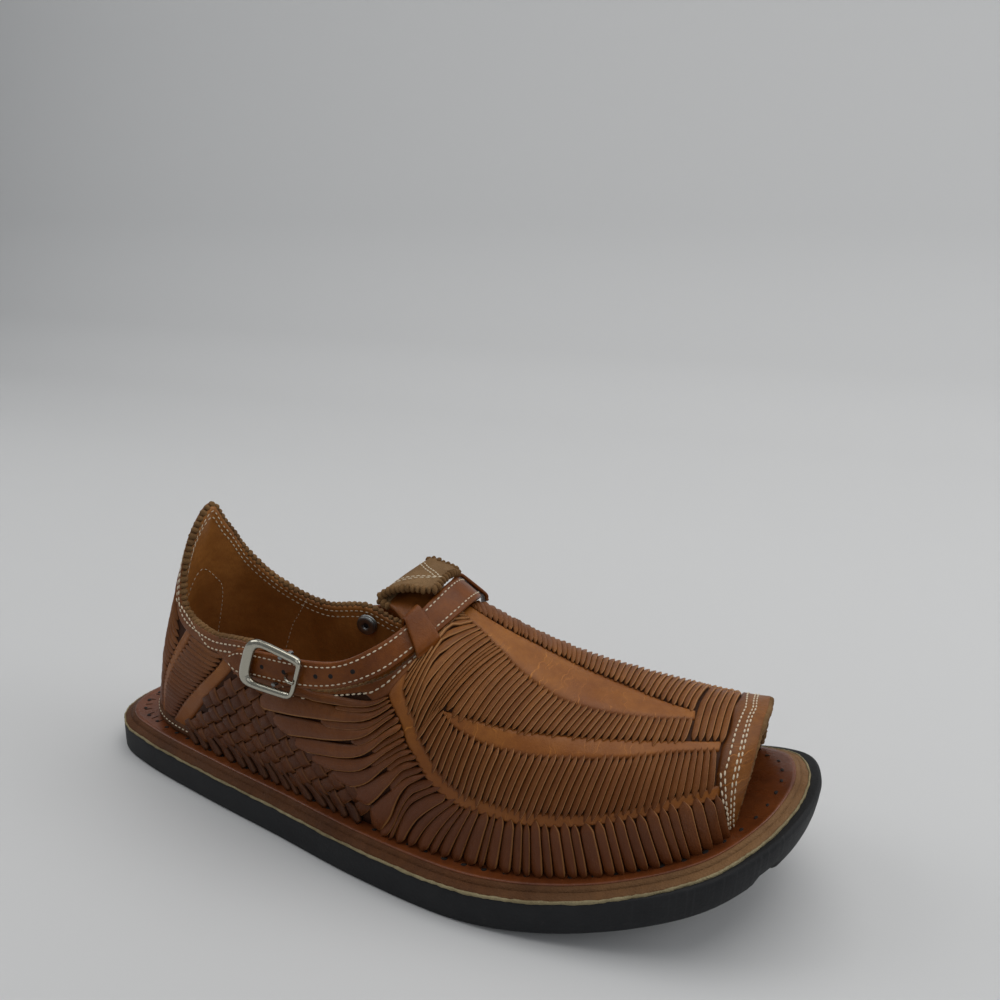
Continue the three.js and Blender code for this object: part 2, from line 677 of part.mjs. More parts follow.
function makeProng() {
  const points = PRONG_PATH.map(([, x, z]) => vec(BUCKLE.pivotX + x, 0, z));
  const path = new THREE.CatmullRomCurve3(points);
  const section = new THREE.Shape().absarc(0, 0, PRONG.radius, 0, 2 * Math.PI);
  const rod = new THREE.ExtrudeGeometry(section, { steps: 16, curveSegments: 5, extrudePath: path });
  const ring = new THREE.Shape().absarc(0, 0, EYE_RADIUS, 0, 2 * Math.PI);
  ring.holes.push(new THREE.Path().absarc(0, 0, BUCKLE.pivotRadius + GAP, 0, 2 * Math.PI));
  const eye = new THREE.ExtrudeGeometry(ring, {
    depth: PRONG.eyeWidth, bevelEnabled: false, curveSegments: 10,
  });
  eye.translate(0, 0, -PRONG.eyeWidth / 2).rotateX(Math.PI / 2).translate(BUCKLE.pivotX, 0, PIVOT_Z);
  return joined(eye, rod);
}

/** The chape loops round the buckle's pivot and lies along the wing under the strap's tip. */
function makeChape(rivet) {
  const { width, thickness, length } = CHAPE;
  const inside = BUCKLE.pivotRadius + GAP;
  const outside = inside + thickness;
  const shape = new THREE.Shape();
  shape.moveTo(-length, -outside);
  shape.lineTo(0, -outside);
  shape.absarc(0, 0, outside, -Math.PI / 2, CHAPE.wrap, false);
  shape.absarc(0, 0, inside, CHAPE.wrap, -Math.PI / 2, true);
  shape.lineTo(-length, -inside);
  shape.closePath();
  const strip = new THREE.ExtrudeGeometry(shape, { depth: width, bevelEnabled: false, curveSegments: 8 });
  strip.translate(0, 0, -width / 2).rotateX(Math.PI / 2);
  strip.applyMatrix4(new THREE.Matrix4().makeShear(CHAPE.droop, 0, 0, 0, 0, 0));
  strip.translate(BUCKLE.pivotX, 0, PIVOT_Z);
  const slot = new THREE.BoxGeometry(CHAPE.slotLength, CHAPE.slotWidth, 4 * outside);
  return cut(strip, slot.translate(BUCKLE.pivotX + CHAPE.slotWidth, 0, PIVOT_Z), rivet);
}

// ---------------------------------------------------------------- assembly

const medialRivet = strapAt(MEDIAL_RIVET_ROW);
const medialRivetFrame = frameAt(
  medialRivet.middle.clone().addScaledVector(medialRivet.out, STRAP_THICKNESS / 2),
  medialRivet.along.clone().negate(),
  medialRivet.out,
);
const buckleSeat = strapAt(BUCKLE_ROW);
const buckleFrame = frameAt(buckleSeat.middle, buckleSeat.along.clone().negate(), buckleSeat.out)
  .multiply(new THREE.Matrix4().makeRotationZ(-THREE.MathUtils.degToRad(BUCKLE.turn)));

const lateralRivetFrame = buckleFrame.clone().multiply(new THREE.Matrix4().makeTranslation(
  LATERAL_RIVET_X,
  CHAPE.droop * (LATERAL_RIVET_X - BUCKLE.pivotX),
  PIVOT_Z - BUCKLE.pivotRadius - GAP,
));

const BORE_LENGTH = 24;
const boreRadius = RIVET.shankRadius + RIVET.clearance;
const medialBore = boreGeometry(boreRadius, BORE_LENGTH).applyMatrix4(medialRivetFrame);
const lateralBore = boreGeometry(boreRadius, BORE_LENGTH);
const chapeBore = lateralBore.clone()
  .applyMatrix4(buckleFrame.clone().invert().multiply(lateralRivetFrame));
lateralBore.translate(0, 0, -BORE_LENGTH / 2 - RIVET.clearance).applyMatrix4(lateralRivetFrame);
const prongHole = boreGeometry(PRONG.hole, 3 * STRAP_THICKNESS)
  .translate(BUCKLE.pivotX + PRONG.holeX, 0, 0)
  .applyMatrix4(buckleFrame);

place('outsole', makeOutsole(), FINISH.rubber);
place('midsole', makeLeatherLayer(EDGE_STEP, MIDSOLE_INSET, MIDSOLE_Z, MIDSOLE_THICKNESS), FINISH.tan);
place('insole', makeLeatherLayer(
  MIDSOLE_INSET + EDGE_STEP,
  INSOLE_INSET,
  INSOLE_Z,
  INSOLE_THICKNESS,
), FINISH.footbed);
place('upper', cut(makeUpper(), medialBore, lateralBore), FINISH.woven);
place('tongue', joined(
  makeTongue(),
  makeKeeper(LATERAL_KEEPER_ROW),
  makeKeeper(MEDIAL_KEEPER_ROW),
), FINISH.tan);
place('strap', makeStrap(medialBore, prongHole), FINISH.tan);

const buckle = new THREE.Group();
buckle.applyMatrix4(buckleFrame);
shoe.add(buckle);
place('buckle_frame', makeBuckleFrame(), FINISH.nickel, buckle);
place('buckle_prong', makeProng(), FINISH.nickel, buckle);
place('buckle_chape', makeChape(chapeBore), FINISH.tan, buckle);

for (const [name, frame, grip] of [
  ['rivet_medial', medialRivetFrame, MEDIAL_GRIP],
  ['rivet_lateral', lateralRivetFrame, LATERAL_GRIP],
]) {
  const holder = new THREE.Group();
  holder.applyMatrix4(frame);
  shoe.add(holder);
  place(name, rivetGeometry(grip), FINISH.nickel, holder);
}

export default shoe;
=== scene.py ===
import math

import bmesh
import bpy
import numpy as np
from mathutils import Matrix, Vector


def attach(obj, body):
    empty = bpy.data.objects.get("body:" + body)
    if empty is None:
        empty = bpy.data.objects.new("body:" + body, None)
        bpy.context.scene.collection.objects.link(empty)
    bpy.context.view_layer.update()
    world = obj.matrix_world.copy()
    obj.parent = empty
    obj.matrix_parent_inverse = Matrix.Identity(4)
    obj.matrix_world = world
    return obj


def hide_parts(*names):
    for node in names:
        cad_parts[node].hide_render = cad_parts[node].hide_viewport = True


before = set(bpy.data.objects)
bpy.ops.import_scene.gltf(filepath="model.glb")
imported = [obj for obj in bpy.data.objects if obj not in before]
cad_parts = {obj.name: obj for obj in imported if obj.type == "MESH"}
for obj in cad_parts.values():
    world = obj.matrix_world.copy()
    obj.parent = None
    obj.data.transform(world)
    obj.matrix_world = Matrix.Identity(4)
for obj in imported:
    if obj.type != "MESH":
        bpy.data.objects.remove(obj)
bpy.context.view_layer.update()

# Right huarache sandal. The tables are in millimetres from the back of the heel, as in the frame's
# source, with +X to the toe, +Y to the medial side and +Z up. Every piece goes to metres in to_frame.

MM = 0.001
HEEL_REST_X = 48.0
SHOE_LENGTH = 300.0
GAP = 0.3
RUBBER_THICKNESS = 12.0
MIDSOLE_THICKNESS = 1.7
INSOLE_THICKNESS = 1.3
MIDSOLE_Z = RUBBER_THICKNESS + GAP
INSOLE_Z = MIDSOLE_Z + MIDSOLE_THICKNESS + GAP
FOOTBED_Z = INSOLE_Z + INSOLE_THICKNESS
TOE_SPRING = 30.5
SPRING_START_X = 185.0
FLARE_START_X = 240.0
WALL = 2.2
LINING = 0.9                     # the lining's part of the wall
STRAP_THICKNESS = 2.4
TONGUE_THICKNESS = 2.0
KEEPER_THICKNESS = 1.6
KEEPER_WIDTH = 9.0
RIB_PITCH = 2.3
FINGER_PITCH = 3.7
WEAVE_FOOT_PITCH = 6.6
HEEL_PITCH = 2.7
HEEL_BACK_PITCH = 2.5
UNDERLAP = 0.3                   # how far facing and toe band reach into the wall

# ---------------------------------------------------------------- tables of the frame's own form

# Columns: place, x, lateral y, medial y
SOLE_OUTLINE = [
    ("heel round", 3, -13.6, 14.4),
    ("heel corner", 12, -23.8, 25.5),
    ("heel", 30, -30.8, 33.1),
    ("heel front", 70, -39.7, 35.6),
    ("waist", 110, -47.1, 37.3),
    ("arch", 150, -54.9, 45.1),
    ("ball", 190, -59.2, 55.3),
    ("tread", 220, -57.0, 56.9),
    ("toes", 250, -50.2, 52.5),
    ("toe shoulder", 275, -39.2, 45.0),
    ("toe round", 290, -22.3, 35.7),
    ("toe tip", 297, -7.2, 26.5),
]
HEEL_POINT = (0, 0.3)
TOE_POINT = (SHOE_LENGTH, 9.5)

# Columns: place, foot x, foot y, top x, top y, top z, bulge, arch, full
LATERAL_SECTIONS = [
    ("toe opening", 277, -18, 283, 8, 67, 3, 1, 2.3),
    ("toe band", 266, -30, 270, 7, 65.5, 4, 1, 2.3),
    ("front tread", 243, -40, 243, 5, 66, 5, 1, 2.3),
    ("ball", 215, -45.5, 215, 4, 70, 5, 1, 2.2),
    ("instep front", 190, -46, 190, 3, 78, 4, 1, 2.2),
    ("throat", 170, -46, 168, 2, 87, 3, 1, 2.3),
    ("throat side", 160, -45, 161, -25, 78, 4, 0.75, 2.3),
    ("under strap", 145, -43, 149, -35, 69, 4, 0.35, 2),
    ("waist", 118, -38, 121, -36, 60, 3, 0.15, 2),
    ("buckle wing", 92, -33, 94, -32, 71, 1.5, 0, 2),
    ("heel side", 62, -27, 68, -27, 69, 3, 0, 2),
    ("heel quarter", 35, -20, 45, -17, 74, 3.5, 0, 2),
    ("heel corner", 21, -10, 44, -11, 98, 1.5, 0, 2),
    ("heel tab", 16.5, 2, 47, 0, 114, 0.5, 0, 2),
]
MEDIAL_SECTIONS = [
    ("toe opening", 281, 34, 283, 8, 67, 3, 1, 2.3),
    ("toe band", 270, 38, 270, 7, 65.5, 4, 1, 2.3),
    ("front tread", 246, 43, 243, 5, 66, 5, 1, 2.3),
    ("ball", 215, 45, 215, 4, 70, 5, 1, 2.2),
    ("instep front", 190, 41, 190, 3, 78, 4, 1, 2.2),
    ("throat", 170, 36, 168, 2, 87, 3, 1, 2.3),
    ("throat side", 158, 34, 160, 24, 78, 4, 0.75, 2.3),
    ("under strap", 142, 32, 147, 31, 69, 4, 0.35, 2),
    ("waist", 122, 31, 124, 33, 61, 3, 0.15, 2),
    ("rivet wing", 103, 31, 106, 31.5, 66.5, 2.5, 0, 2),
    ("wing back", 82, 30, 85, 30, 64.5, 2.5, 0, 2),
    ("heel side", 62, 29, 66, 25, 73, 4, 0, 2),
    ("heel quarter", 35, 22, 52, 18, 88, 3, 0, 2),
    ("heel corner", 21, 13, 49, 8, 104, 1, 0, 2),
]
THROAT = 5

# Columns: place, x, z, half width, drop, tilt, skew
TONGUE_ROWS = [
    ("under strap", 161.5, 89.4, 22, 9, 0, 0),
    ("behind strap", 154, 91.6, 20, 8, 0, 0),
    ("rise", 147, 92, 17, 4, 0, 0),
    ("curl start", 142.5, 91.4, 14, 2, 0.5, 1),
    ("curl back", 140, 94, 13, 1, 2.5, 3),
    ("curl top", 144, 97.8, 12.5, 0.5, 3, 3),
    ("flap", 150, 99.2, 12.5, 1, 1.2, 1),
    ("flap front", 156, 99.6, 12, 1.8, 0.6, 0),
    ("point", 160, 99.6, 10, 2.2, 0, 0),
]
TONGUE_CENTRE_Y = 2.0
TONGUE_SEAM = 2.4
TONGUE_REACH = 0.95

# Columns: place, lower x, y, z, upper x, y, z
STRAP_ROWS = [
    ("medial end", 94, 37, 51.8, 93, 36, 63.2),
    ("medial rivet", 107, 37.5, 53, 106, 36.5, 64.4),
    ("medial wing", 124, 38, 58.5, 121.5, 37, 70),
    ("medial rise", 143, 36.5, 68.5, 138.5, 35, 79),
    ("medial shoulder", 160.5, 28, 79.8, 154, 24, 87.3),
    ("medial crown", 169, 13.5, 88, 159.5, 12, 94.8),
    ("crown", 171, 2, 90.6, 160.5, 2, 96.8),
    ("lateral crown", 168.5, -10, 87.8, 159, -9, 94),
    ("lateral shoulder", 160.5, -28, 79.8, 154.3, -23.5, 87),
    ("lateral rise", 151.5, -37, 73, 147.3, -35, 82),
    ("lateral wing", 138, -41.2, 67.3, 136.8, -40.4, 77),
    ("buckle front", 122, -42.6, 64.2, 122, -41.8, 75),
    ("buckle back", 101.5, -42, 63.4, 102, -41.2, 74.2),
    ("tip root", 91.5, -40.8, 62.4, 92, -40, 72.6),
    ("tip", 86, -39.6, 66.4, 86, -39.4, 68.4),
]
STRAP_HOLES = [9.6, 10.2, 10.6, 11.35, 11.82]
STRAP_HOLE_RADIUS = 0.95
LATERAL_KEEPER_ROW = 7.7
MEDIAL_KEEPER_ROW = 4.3
MEDIAL_RIVET_ROW = 1.0
RIVET_REACH = 8.9
EYELET = {"radius": 2.9, "half width": 1.7, "rise": 0.8, "hole": 1.4}
THREAD_RISE = 0.05               # middle of a stitch above its leather
BUCKLE_ROW = 11.57
BUCKLE = {
    "length": 26.0, "height": 19.4, "bar": 2.7, "front bar": 2.0, "back bar": 4.6, "side bar": 2.9,
    "turn": 8, "lean": 0.14, "taper": 0.09, "lift": 0.6, "above": 0.8,
    "pivot": 0.85, "pivot x": 2.9, "pivot z": -4.0, "post reach": 0.7, "prong": 0.75, "prong y": -0.6,
    "back corner": 0.5, "front corner x": 0.22, "front corner y": 0.25,
}

# Columns: place, edge the point is measured from (1 upper, 0 lower), past the edge, out of the strap
KEEPER_PATH = [
    ("back foot", 1, 2.2, -5.4),
    ("back bend", 1, 2.2, 0.2),
    ("upper corner", 1, 1.3, 2.3),
    ("over upper edge", 1, -1.5, 2.6),
    ("over lower edge", 0, -1.5, 2.6),
    ("lower corner", 0, 1.3, 2.3),
    ("front bend", 0, 2.2, 1.4),
    ("front foot", 0, 3, 0.8),
]

# ---------------------------------------------------------------- tables of the leather work
# Places on the upper are t, counted in section rows from the lateral toe opening, and v, from the
# footbed (0) to the top line (1) and, over the vamp, on past the ridge. Side tables are written for
# the lateral side, and the medial side has the same places counted from its own toe opening.

# Smooth bands. Columns: place, one edge t, v, other edge t, v
CENTRE_BAND = [
    ("throat", 5.0, 0.955, 5.0, 1.04),
    ("instep", 4.58, 0.927, 4.62, 1.035),
    ("instep front", 4.1, 0.873, 4.15, 1.042),
    ("ball rear", 3.7, 0.827, 3.7, 1.05),
    ("ball", 3.3, 0.8, 3.3, 1.047),
    ("ball front", 3.0, 0.786, 3.0, 1.038),
    ("tread", 2.55, 0.797, 2.6, 1.022),
    ("toes", 2.05, 0.828, 2.12, 0.998),
    ("toe end", 1.42, 0.877, 1.45, 0.945),
]
MID_BAND = [
    ("tip", 4.58, 0.492, 4.58, 0.486),
    ("root", 4.4, 0.508, 4.4, 0.462),
    ("rear", 4.1, 0.528, 4.12, 0.45),
    ("ball rear", 3.7, 0.556, 3.72, 0.454),
    ("ball", 3.3, 0.592, 3.3, 0.478),
    ("ball front", 2.85, 0.634, 2.85, 0.515),
    ("tread", 2.4, 0.673, 2.4, 0.555),
    ("toes", 1.95, 0.706, 1.95, 0.6),
    ("toe rear", 1.5, 0.728, 1.5, 0.648),
    ("toe end", 0.98, 0.738, 0.98, 0.662),
]
LOWER_BAND = [
    ("under strap", 5.95, 0.97, 6.62, 0.95),
    ("shoulder", 5.82, 0.68, 6.36, 0.74),
    ("upper bend", 5.42, 0.51, 5.98, 0.57),
    ("bend", 5.06, 0.412, 5.6, 0.44),
    ("lower bend", 4.85, 0.345, 5.28, 0.335),
    ("turn", 4.58, 0.296, 4.93, 0.262),
    ("turn front", 4.3, 0.257, 4.55, 0.206),
    ("rear", 3.95, 0.242, 4.1, 0.18),
    ("ball", 3.43, 0.255, 3.45, 0.188),
    ("ball front", 2.75, 0.275, 2.78, 0.206),
    ("tread", 2.2, 0.303, 2.2, 0.243),
    ("toes", 1.7, 0.358, 1.7, 0.282),
    ("toe rear", 1.3, 0.402, 1.3, 0.308),
    ("toe end", 0.78, 0.428, 0.78, 0.32),
]
HEEL_BAND_FRONT = [
    ("collar", 9.3, 0.93, 9.56, 0.95),
    ("upper", 9.45, 0.77, 9.72, 0.79),
    ("middle", 9.68, 0.63, 9.98, 0.64),
    ("lower", 9.94, 0.46, 10.3, 0.45),
    ("rand", 10.38, 0.14, 10.7, 0.17),
    ("foot", 10.6, 0.01, 10.9, 0.04),
]
HEEL_BAND_BACK = [
    ("collar", 10.42, 0.95, 10.62, 0.95),
    ("upper", 10.56, 0.79, 10.77, 0.79),
    ("middle", 10.78, 0.56, 10.99, 0.56),
    ("lower", 10.98, 0.33, 11.2, 0.33),
    ("foot", 11.16, 0.05, 11.38, 0.05),
]
HEEL_RAND = [
    ("lateral end", 10.35, 0.0, 10.35, 0.11),
    ("lateral heel", 11.5, 0.0, 11.5, 0.09),
    ("heel", 13.5, 0.0, 13.5, 0.05),
    ("medial heel", 15.5, 0.0, 15.5, 0.09),
    ("medial end", 16.65, 0.0, 16.65, 0.11),
]

# Upper pleats. Columns: place, lateral start t, v, medial start t, v, end t, v
UPPER_PLEATS = [
    ("strap side", 5.0, 0.962, 5.0, 0.965, 5.92, 0.87),
    ("second", 4.87, 0.95, 4.85, 0.965, 5.82, 0.69),
    ("third", 4.68, 0.935, 4.6, 0.965, 5.5, 0.545),
    ("fourth", 4.5, 0.918, 4.35, 0.96, 5.12, 0.43),
    ("fan end", 4.32, 0.9, 4.15, 0.957, 4.93, 0.38),
    ("band tip", 4.12, 0.875, 3.95, 0.953, 4.6, 0.503),
    ("rear", 3.9, 0.85, 3.7, 0.95, 4.22, 0.522),
    ("ball rear", 3.5, 0.815, 3.35, 0.953, 3.74, 0.556),
    ("ball", 3.05, 0.788, 3.0, 0.962, 3.22, 0.602),
    ("tread", 2.55, 0.797, 2.55, 0.98, 2.68, 0.652),
    ("toes", 2.1, 0.825, 2.1, 1.003, 2.17, 0.69),
    ("toe end", 1.44, 0.875, 1.46, 1.055, 1.46, 0.728),
]

# Other fields of pleats and strips. Columns: place, start t, v, end t, v
FRONT_PLEATS = [
    ("band end", 1.43, 1.26, 1.42, 0.742),
    ("middle", 1.18, 1.26, 1.17, 0.742),
    ("toe band", 0.92, 1.26, 0.92, 0.738),
]
LOWER_PLEATS = [
    ("band tip", 4.7, 0.492, 4.96, 0.372),
    ("second", 4.4, 0.46, 4.57, 0.298),
    ("rear", 4.1, 0.45, 4.25, 0.258),
    ("ball rear", 3.75, 0.453, 3.9, 0.243),
    ("ball", 3.3, 0.478, 3.45, 0.256),
    ("ball front", 2.85, 0.515, 3.0, 0.268),
    ("tread", 2.4, 0.555, 2.53, 0.286),
    ("toes", 2.0, 0.595, 2.1, 0.312),
    ("toe rear", 1.6, 0.64, 1.64, 0.366),
    ("toe side", 1.25, 0.658, 1.21, 0.41),
    ("toe end", 1.02, 0.662, 0.93, 0.424),
]
WAIST_STRIPS = [
    ("top strip", 8.32, 0.93, 6.4, 0.76),
    ("second strip", 8.8, 0.64, 6.14, 0.63),
    ("third strip", 8.4, 0.53, 5.9, 0.53),
    ("fourth strip", 8.0, 0.46, 5.56, 0.415),
    ("fifth strip", 7.6, 0.355, 5.28, 0.335),
    ("sixth strip", 7.2, 0.235, 5.04, 0.28),
    ("seventh strip", 6.8, 0.12, 4.85, 0.25),
    ("last strip", 6.4, 0.0, 4.7, 0.228),
]
FINGERS = [
    ("first finger", 6.3, 0.0, 4.68, 0.225),
    ("arch", 5.65, 0.0, 4.45, 0.203),
    ("ball rear", 4.95, 0.0, 4.2, 0.187),
    ("ball", 4.2, 0.0, 3.85, 0.187),
    ("ball front", 3.5, 0.0, 3.4, 0.194),
    ("tread", 2.8, 0.0, 2.88, 0.207),
    ("toes", 2.1, 0.0, 2.28, 0.24),
    ("toe side", 1.4, 0.0, 1.68, 0.286),
    ("toe rear", 0.85, 0.0, 1.18, 0.315),
    ("toe end", 0.2, 0.0, 0.72, 0.325),
]
WEAVE_FEET = [
    ("heel band", 10.3, 0.0, 10.5, 0.1),
    ("heel side", 9.45, 0.0, 9.78, 0.16),
    ("waist rear", 8.65, 0.0, 9.02, 0.17),
    ("waist", 8.0, 0.0, 8.36, 0.17),
    ("waist front", 7.4, 0.0, 7.7, 0.15),
    ("strips", 6.75, 0.0, 6.95, 0.1),
]
HEEL_PLEATS = [
    ("collar", 10.44, 0.9, 9.62, 0.87),
    ("upper", 10.58, 0.76, 9.8, 0.74),
    ("middle", 10.8, 0.56, 10.1, 0.56),
    ("lower", 11.0, 0.34, 10.46, 0.34),
    ("rand", 11.14, 0.12, 10.76, 0.12),
]
HEEL_BACK_PLEATS = [
    ("tab", 11.05, 0.9, 16.3, 0.84),
    ("upper", 10.82, 0.72, 16.15, 0.7),
    ("middle", 11.02, 0.52, 15.95, 0.52),
    ("lower", 11.2, 0.32, 15.75, 0.32),
    ("rand", 11.36, 0.1, 15.55, 0.1),
]

# Toe band. Columns: v, its rear edge t, first stitch row t, second stitch row t
TOE_BAND = [
    (0.0, 0.25, 0.16, 0.11),
    (0.1, 0.36, 0.3, 0.24),
    (0.2, 0.53, 0.46, 0.36),
    (0.3, 0.73, 0.62, 0.49),
    (0.42, 0.87, 0.74, 0.58),
    (0.5, 0.92, 0.8, 0.59),
    (0.6, 0.94, 0.78, 0.57),
    (0.7, 0.95, 0.77, 0.55),
    (0.8, 0.9, 0.75, 0.52),
    (0.9, 0.91, 0.7, 0.49),
    (1.0, 0.96, 0.65, 0.43),
]

# Seams inside the lining. Columns: place, t, v
POCKET_SEAM = [
    ("lateral foot", 12.2, 0.3),
    ("lateral side", 12.45, 0.55),
    ("lateral bend", 12.75, 0.66),
    ("top", 13.3, 0.69),
    ("medial bend", 13.9, 0.69),
    ("medial side", 14.25, 0.63),
    ("medial foot", 14.35, 0.35),
]
LINING_SEAM = [
    ("top", 16.55, 0.97),
    ("upper", 16.35, 0.8),
    ("lower", 16.1, 0.6),
    ("foot", 15.9, 0.3),
]

# How pleats end, vary and spread. "end slope" is a length, the rest are shares
PLEAT = {
    "longest tip": 0.4, "tip roundness": 0.55, "end height": 0.66, "end slope": 2.2,
    "height chance": 0.22, "tucked height": 0.8, "highest": 0.97,
    "spread": 0.95, "spread past": 0.35, "spread fade": 0.5,
}

# Basket weave: where it starts, its two slants in radians, its strips' width, their pitches, half
# lengths and half width as shares of that width, the edges of the field, and how strips bow and vary
WEAVE = {
    "x": 95.0, "height": 22.0, "down": -0.9, "rise": 0.62, "width": 5.1, "down pitch": 1.25,
    "rise pitch": 1.05, "down half": 0.78, "rise half": 0.72, "half width": 0.51,
    "lowest": 4, "highest": 45, "back x": 44.5, "back slope": 0.85, "front x": 171, "front slope": -2.1,
    "end lift": 0.35, "bow": 1.1, "bow chance": 0.4, "least width": 0.96, "width chance": 0.1,
    "end taper": 0.15,
}

# Rows of beads. Columns: pitch, length, width, thickness
BEAD_SIZES = {
    "awl holes": (7.6, 2.1, 1.6, 0.25),
    "heel slits": (4.6, 0.55, 3.6, 0.25),
    "rand stitches": (2.6, 1.8, 0.6, 0.5),
    "toe stitches": (2.5, 2.0, 0.72, 0.55),
    "collar stitches": (2.6, 2.0, 0.75, 0.6),
    "lining stitches": (2.6, 1.9, 0.65, 0.5),
    "lining seams": (2.4, 1.7, 0.4, 0.35),
    "pinked edge": (2.7, 3.0, 3.0, 3.5),
    "strap stitches": (2.3, 1.7, 0.6, 0.45),
    "tongue stitches": (2.2, 1.9, 0.6, 0.45),
    "tongue fringe": (2.1, 2.3, 3.6, 3.6),
}

# Sections of strips. Columns: points round it, squareness (1 is round), lean, share below its rail
SECTION_SHAPES = {
    "vamp pleat": (12, 0.45, 0.4, 0.3),
    "heel pleat": (12, 0.5, 0.35, 0.3),
    "side finger": (12, 0.5, 0.3, 0.3),
    "woven strip": (12, 0.4, 0.12, 0.3),
    "sewn foot": (12, 0.5, 0.25, 0.3),
    "raw edge": (8, 0.9, 0.0, 1.0),
    "rough edge": (10, 0.7, 0.0, 1.0),
    "strap": (24, 0.4, 0.0, 1.0),
    "keeper": (20, 0.35, 0.0, 1.0),
    "rolled rim": (16, 1.0, 0.0, 1.0),
    "buckle bar": (24, 1.0, 0.0, 1.0),
    "pivot": (14, 0.9, 0.0, 1.0),
    "prong": (14, 1.0, 0.0, 1.0),
}

# Collar facing. Columns: place, t, v of its lower edge
FACING_EDGE = [
    ("lateral end", 5.9, 0.82),
    ("lateral throat side", 6.4, 0.76),
    ("under strap", 6.85, 0.8),
    ("strap gap", 7.15, 0.93),
    ("waist", 7.7, 0.98),
    ("wing front", 8.1, 0.86),
    ("under buckle", 8.55, 0.715),
    ("buckle wing", 8.9, 0.655),
    ("wing back", 9.2, 0.667),
    ("wing end", 9.42, 0.76),
    ("lateral side", 9.75, 0.87),
    ("lateral heel side", 10.25, 0.885),
    ("lateral quarter", 10.8, 0.9),
    ("tab root", 11.25, 0.9),
    ("tab side", 11.6, 0.8),
    ("tab corner", 12.0, 0.7),
    ("tab", 13.0, 0.61),
    ("medial corner", 14.0, 0.67),
    ("medial quarter", 15.0, 0.8),
    ("medial heel side", 16.0, 0.87),
    ("medial wing back", 17.0, 0.86),
    ("rivet wing", 18.0, 0.74),
    ("medial waist", 19.0, 0.92),
    ("medial under strap", 20.0, 0.9),
    ("medial end", 21.0, 0.87),
]


# ---------------------------------------------------------------- form of the upper

def numbers(table):
    """The table's numbers, without the place names where it has them."""
    return np.array([[cell for cell in row if not isinstance(cell, str)] for row in table], float)


def one_side(table, medial):
    """Start and end columns of a table that has a lateral and a medial start."""
    rows = numbers(table)
    start = rows[:, 2:4] if medial else rows[:, :2]
    return np.hstack([start, rows[:, 4:]])


def smooth(rows, t):
    """Rows of a table at places t, on a smooth curve through them."""
    t = np.asarray(t, float)
    last = len(rows) - 1
    i = np.clip(np.floor(t).astype(int), 0, last - 1)
    s = (t - i)[..., None]
    padded = np.vstack([2 * rows[0] - rows[1], rows, 2 * rows[-1] - rows[-2]])
    a, b, c, d = padded[i], padded[i + 1], padded[i + 2], padded[i + 3]
    square = (2 * a - 5 * b + 4 * c - d) * s ** 2
    cube = (3 * b - a - 3 * c + d) * s ** 3
    return 0.5 * (2 * b + (c - a) * s + square + cube)


SECTIONS = np.vstack([numbers(LATERAL_SECTIONS), numbers(MEDIAL_SECTIONS)[::-1]])
LAST = len(SECTIONS) - 1
RIDGE = SECTIONS[:THROAT + 1]
COLLAR = SECTIONS[THROAT:LAST - THROAT + 1]


def spring(x):
    """Rise of the sole off the ground towards the toe."""
    reach = np.maximum(0.0, (x - SPRING_START_X) / (SHOE_LENGTH - SPRING_START_X))
    return TOE_SPRING * reach ** 2


def unit(vectors):
    return vectors / np.maximum(np.linalg.norm(vectors, axis=-1, keepdims=True), 1e-9)


def wall(t, v):
    """Points of the upper's outer face."""
    t, v = np.broadcast_arrays(np.asarray(t, float), np.asarray(v, float))
    over = v > 1
    t = np.where(over, LAST - t, t)
    v = np.where(over, 2 - v, v)
    row = smooth(SECTIONS, t)
    from_toe = np.where(t > LAST / 2, LAST - t, t)
    ridge = smooth(RIDGE, np.minimum(from_toe, THROAT))
    collar = smooth(COLLAR, np.clip(t - THROAT, 0, len(COLLAR) - 1))
    top = np.where((from_toe <= THROAT)[..., None], ridge, collar)[..., 2:5]
    step = 1e-3
    ahead = smooth(SECTIONS, t + step) - smooth(SECTIONS, t - step)
    out = unit(np.stack([-ahead[..., 1], ahead[..., 0]], -1))
    foot = np.stack([row[..., 0], row[..., 1], spring(row[..., 0]) + FOOTBED_Z + GAP], -1)
    bulge, arch, full = row[..., 5], row[..., 6], row[..., 7]
    angle = v * np.pi / 2
    vault_in = 1 - np.maximum(np.cos(angle), 0) ** (2 / full)
    vault_up = np.maximum(np.sin(angle), 0) ** (2 / full)
    share_in = arch * vault_in + (1 - arch) * v
    share_up = arch * vault_up + (1 - arch) * v
    point = foot + (top - foot) * np.stack([share_in, share_in, share_up], -1)
    point[..., :2] += out * (bulge * np.sin(np.pi * v))[..., None]
    return point


def wall_normal(t, v):
    """Unit normals of the upper, pointing away from the foot."""
    t, v = np.broadcast_arrays(np.asarray(t, float), np.asarray(v, float))
    step = 0.012
    flat_t = np.where(v > 1, LAST - t, t)
    flat_v = np.where(v > 1, 2 - v, v)
    along = wall(np.minimum(flat_t + step, LAST), flat_v) - wall(np.maximum(flat_t - step, 0), flat_v)
    up = wall(flat_t, np.minimum(flat_v + step, 1)) - wall(flat_t, np.maximum(flat_v - step, 0))
    return unit(np.cross(up, along))


def on_wall(t, v, rise):
    """Points at a height above the upper's outer face."""
    return wall(t, v) + wall_normal(t, v) * np.asarray(rise, float)[..., None]


def level_on_wall(t, v, rise):
    """Points all at one height above the upper's outer face."""
    t, v = np.broadcast_arrays(np.asarray(t, float), np.asarray(v, float))
    return on_wall(t, v, np.full(t.shape, rise))


def wall_height(t):
    """Straight height of the wall at t, to turn millimetres up the wall into shares."""
    return np.linalg.norm(wall(t, 1.0) - wall(t, 0.0), axis=-1)


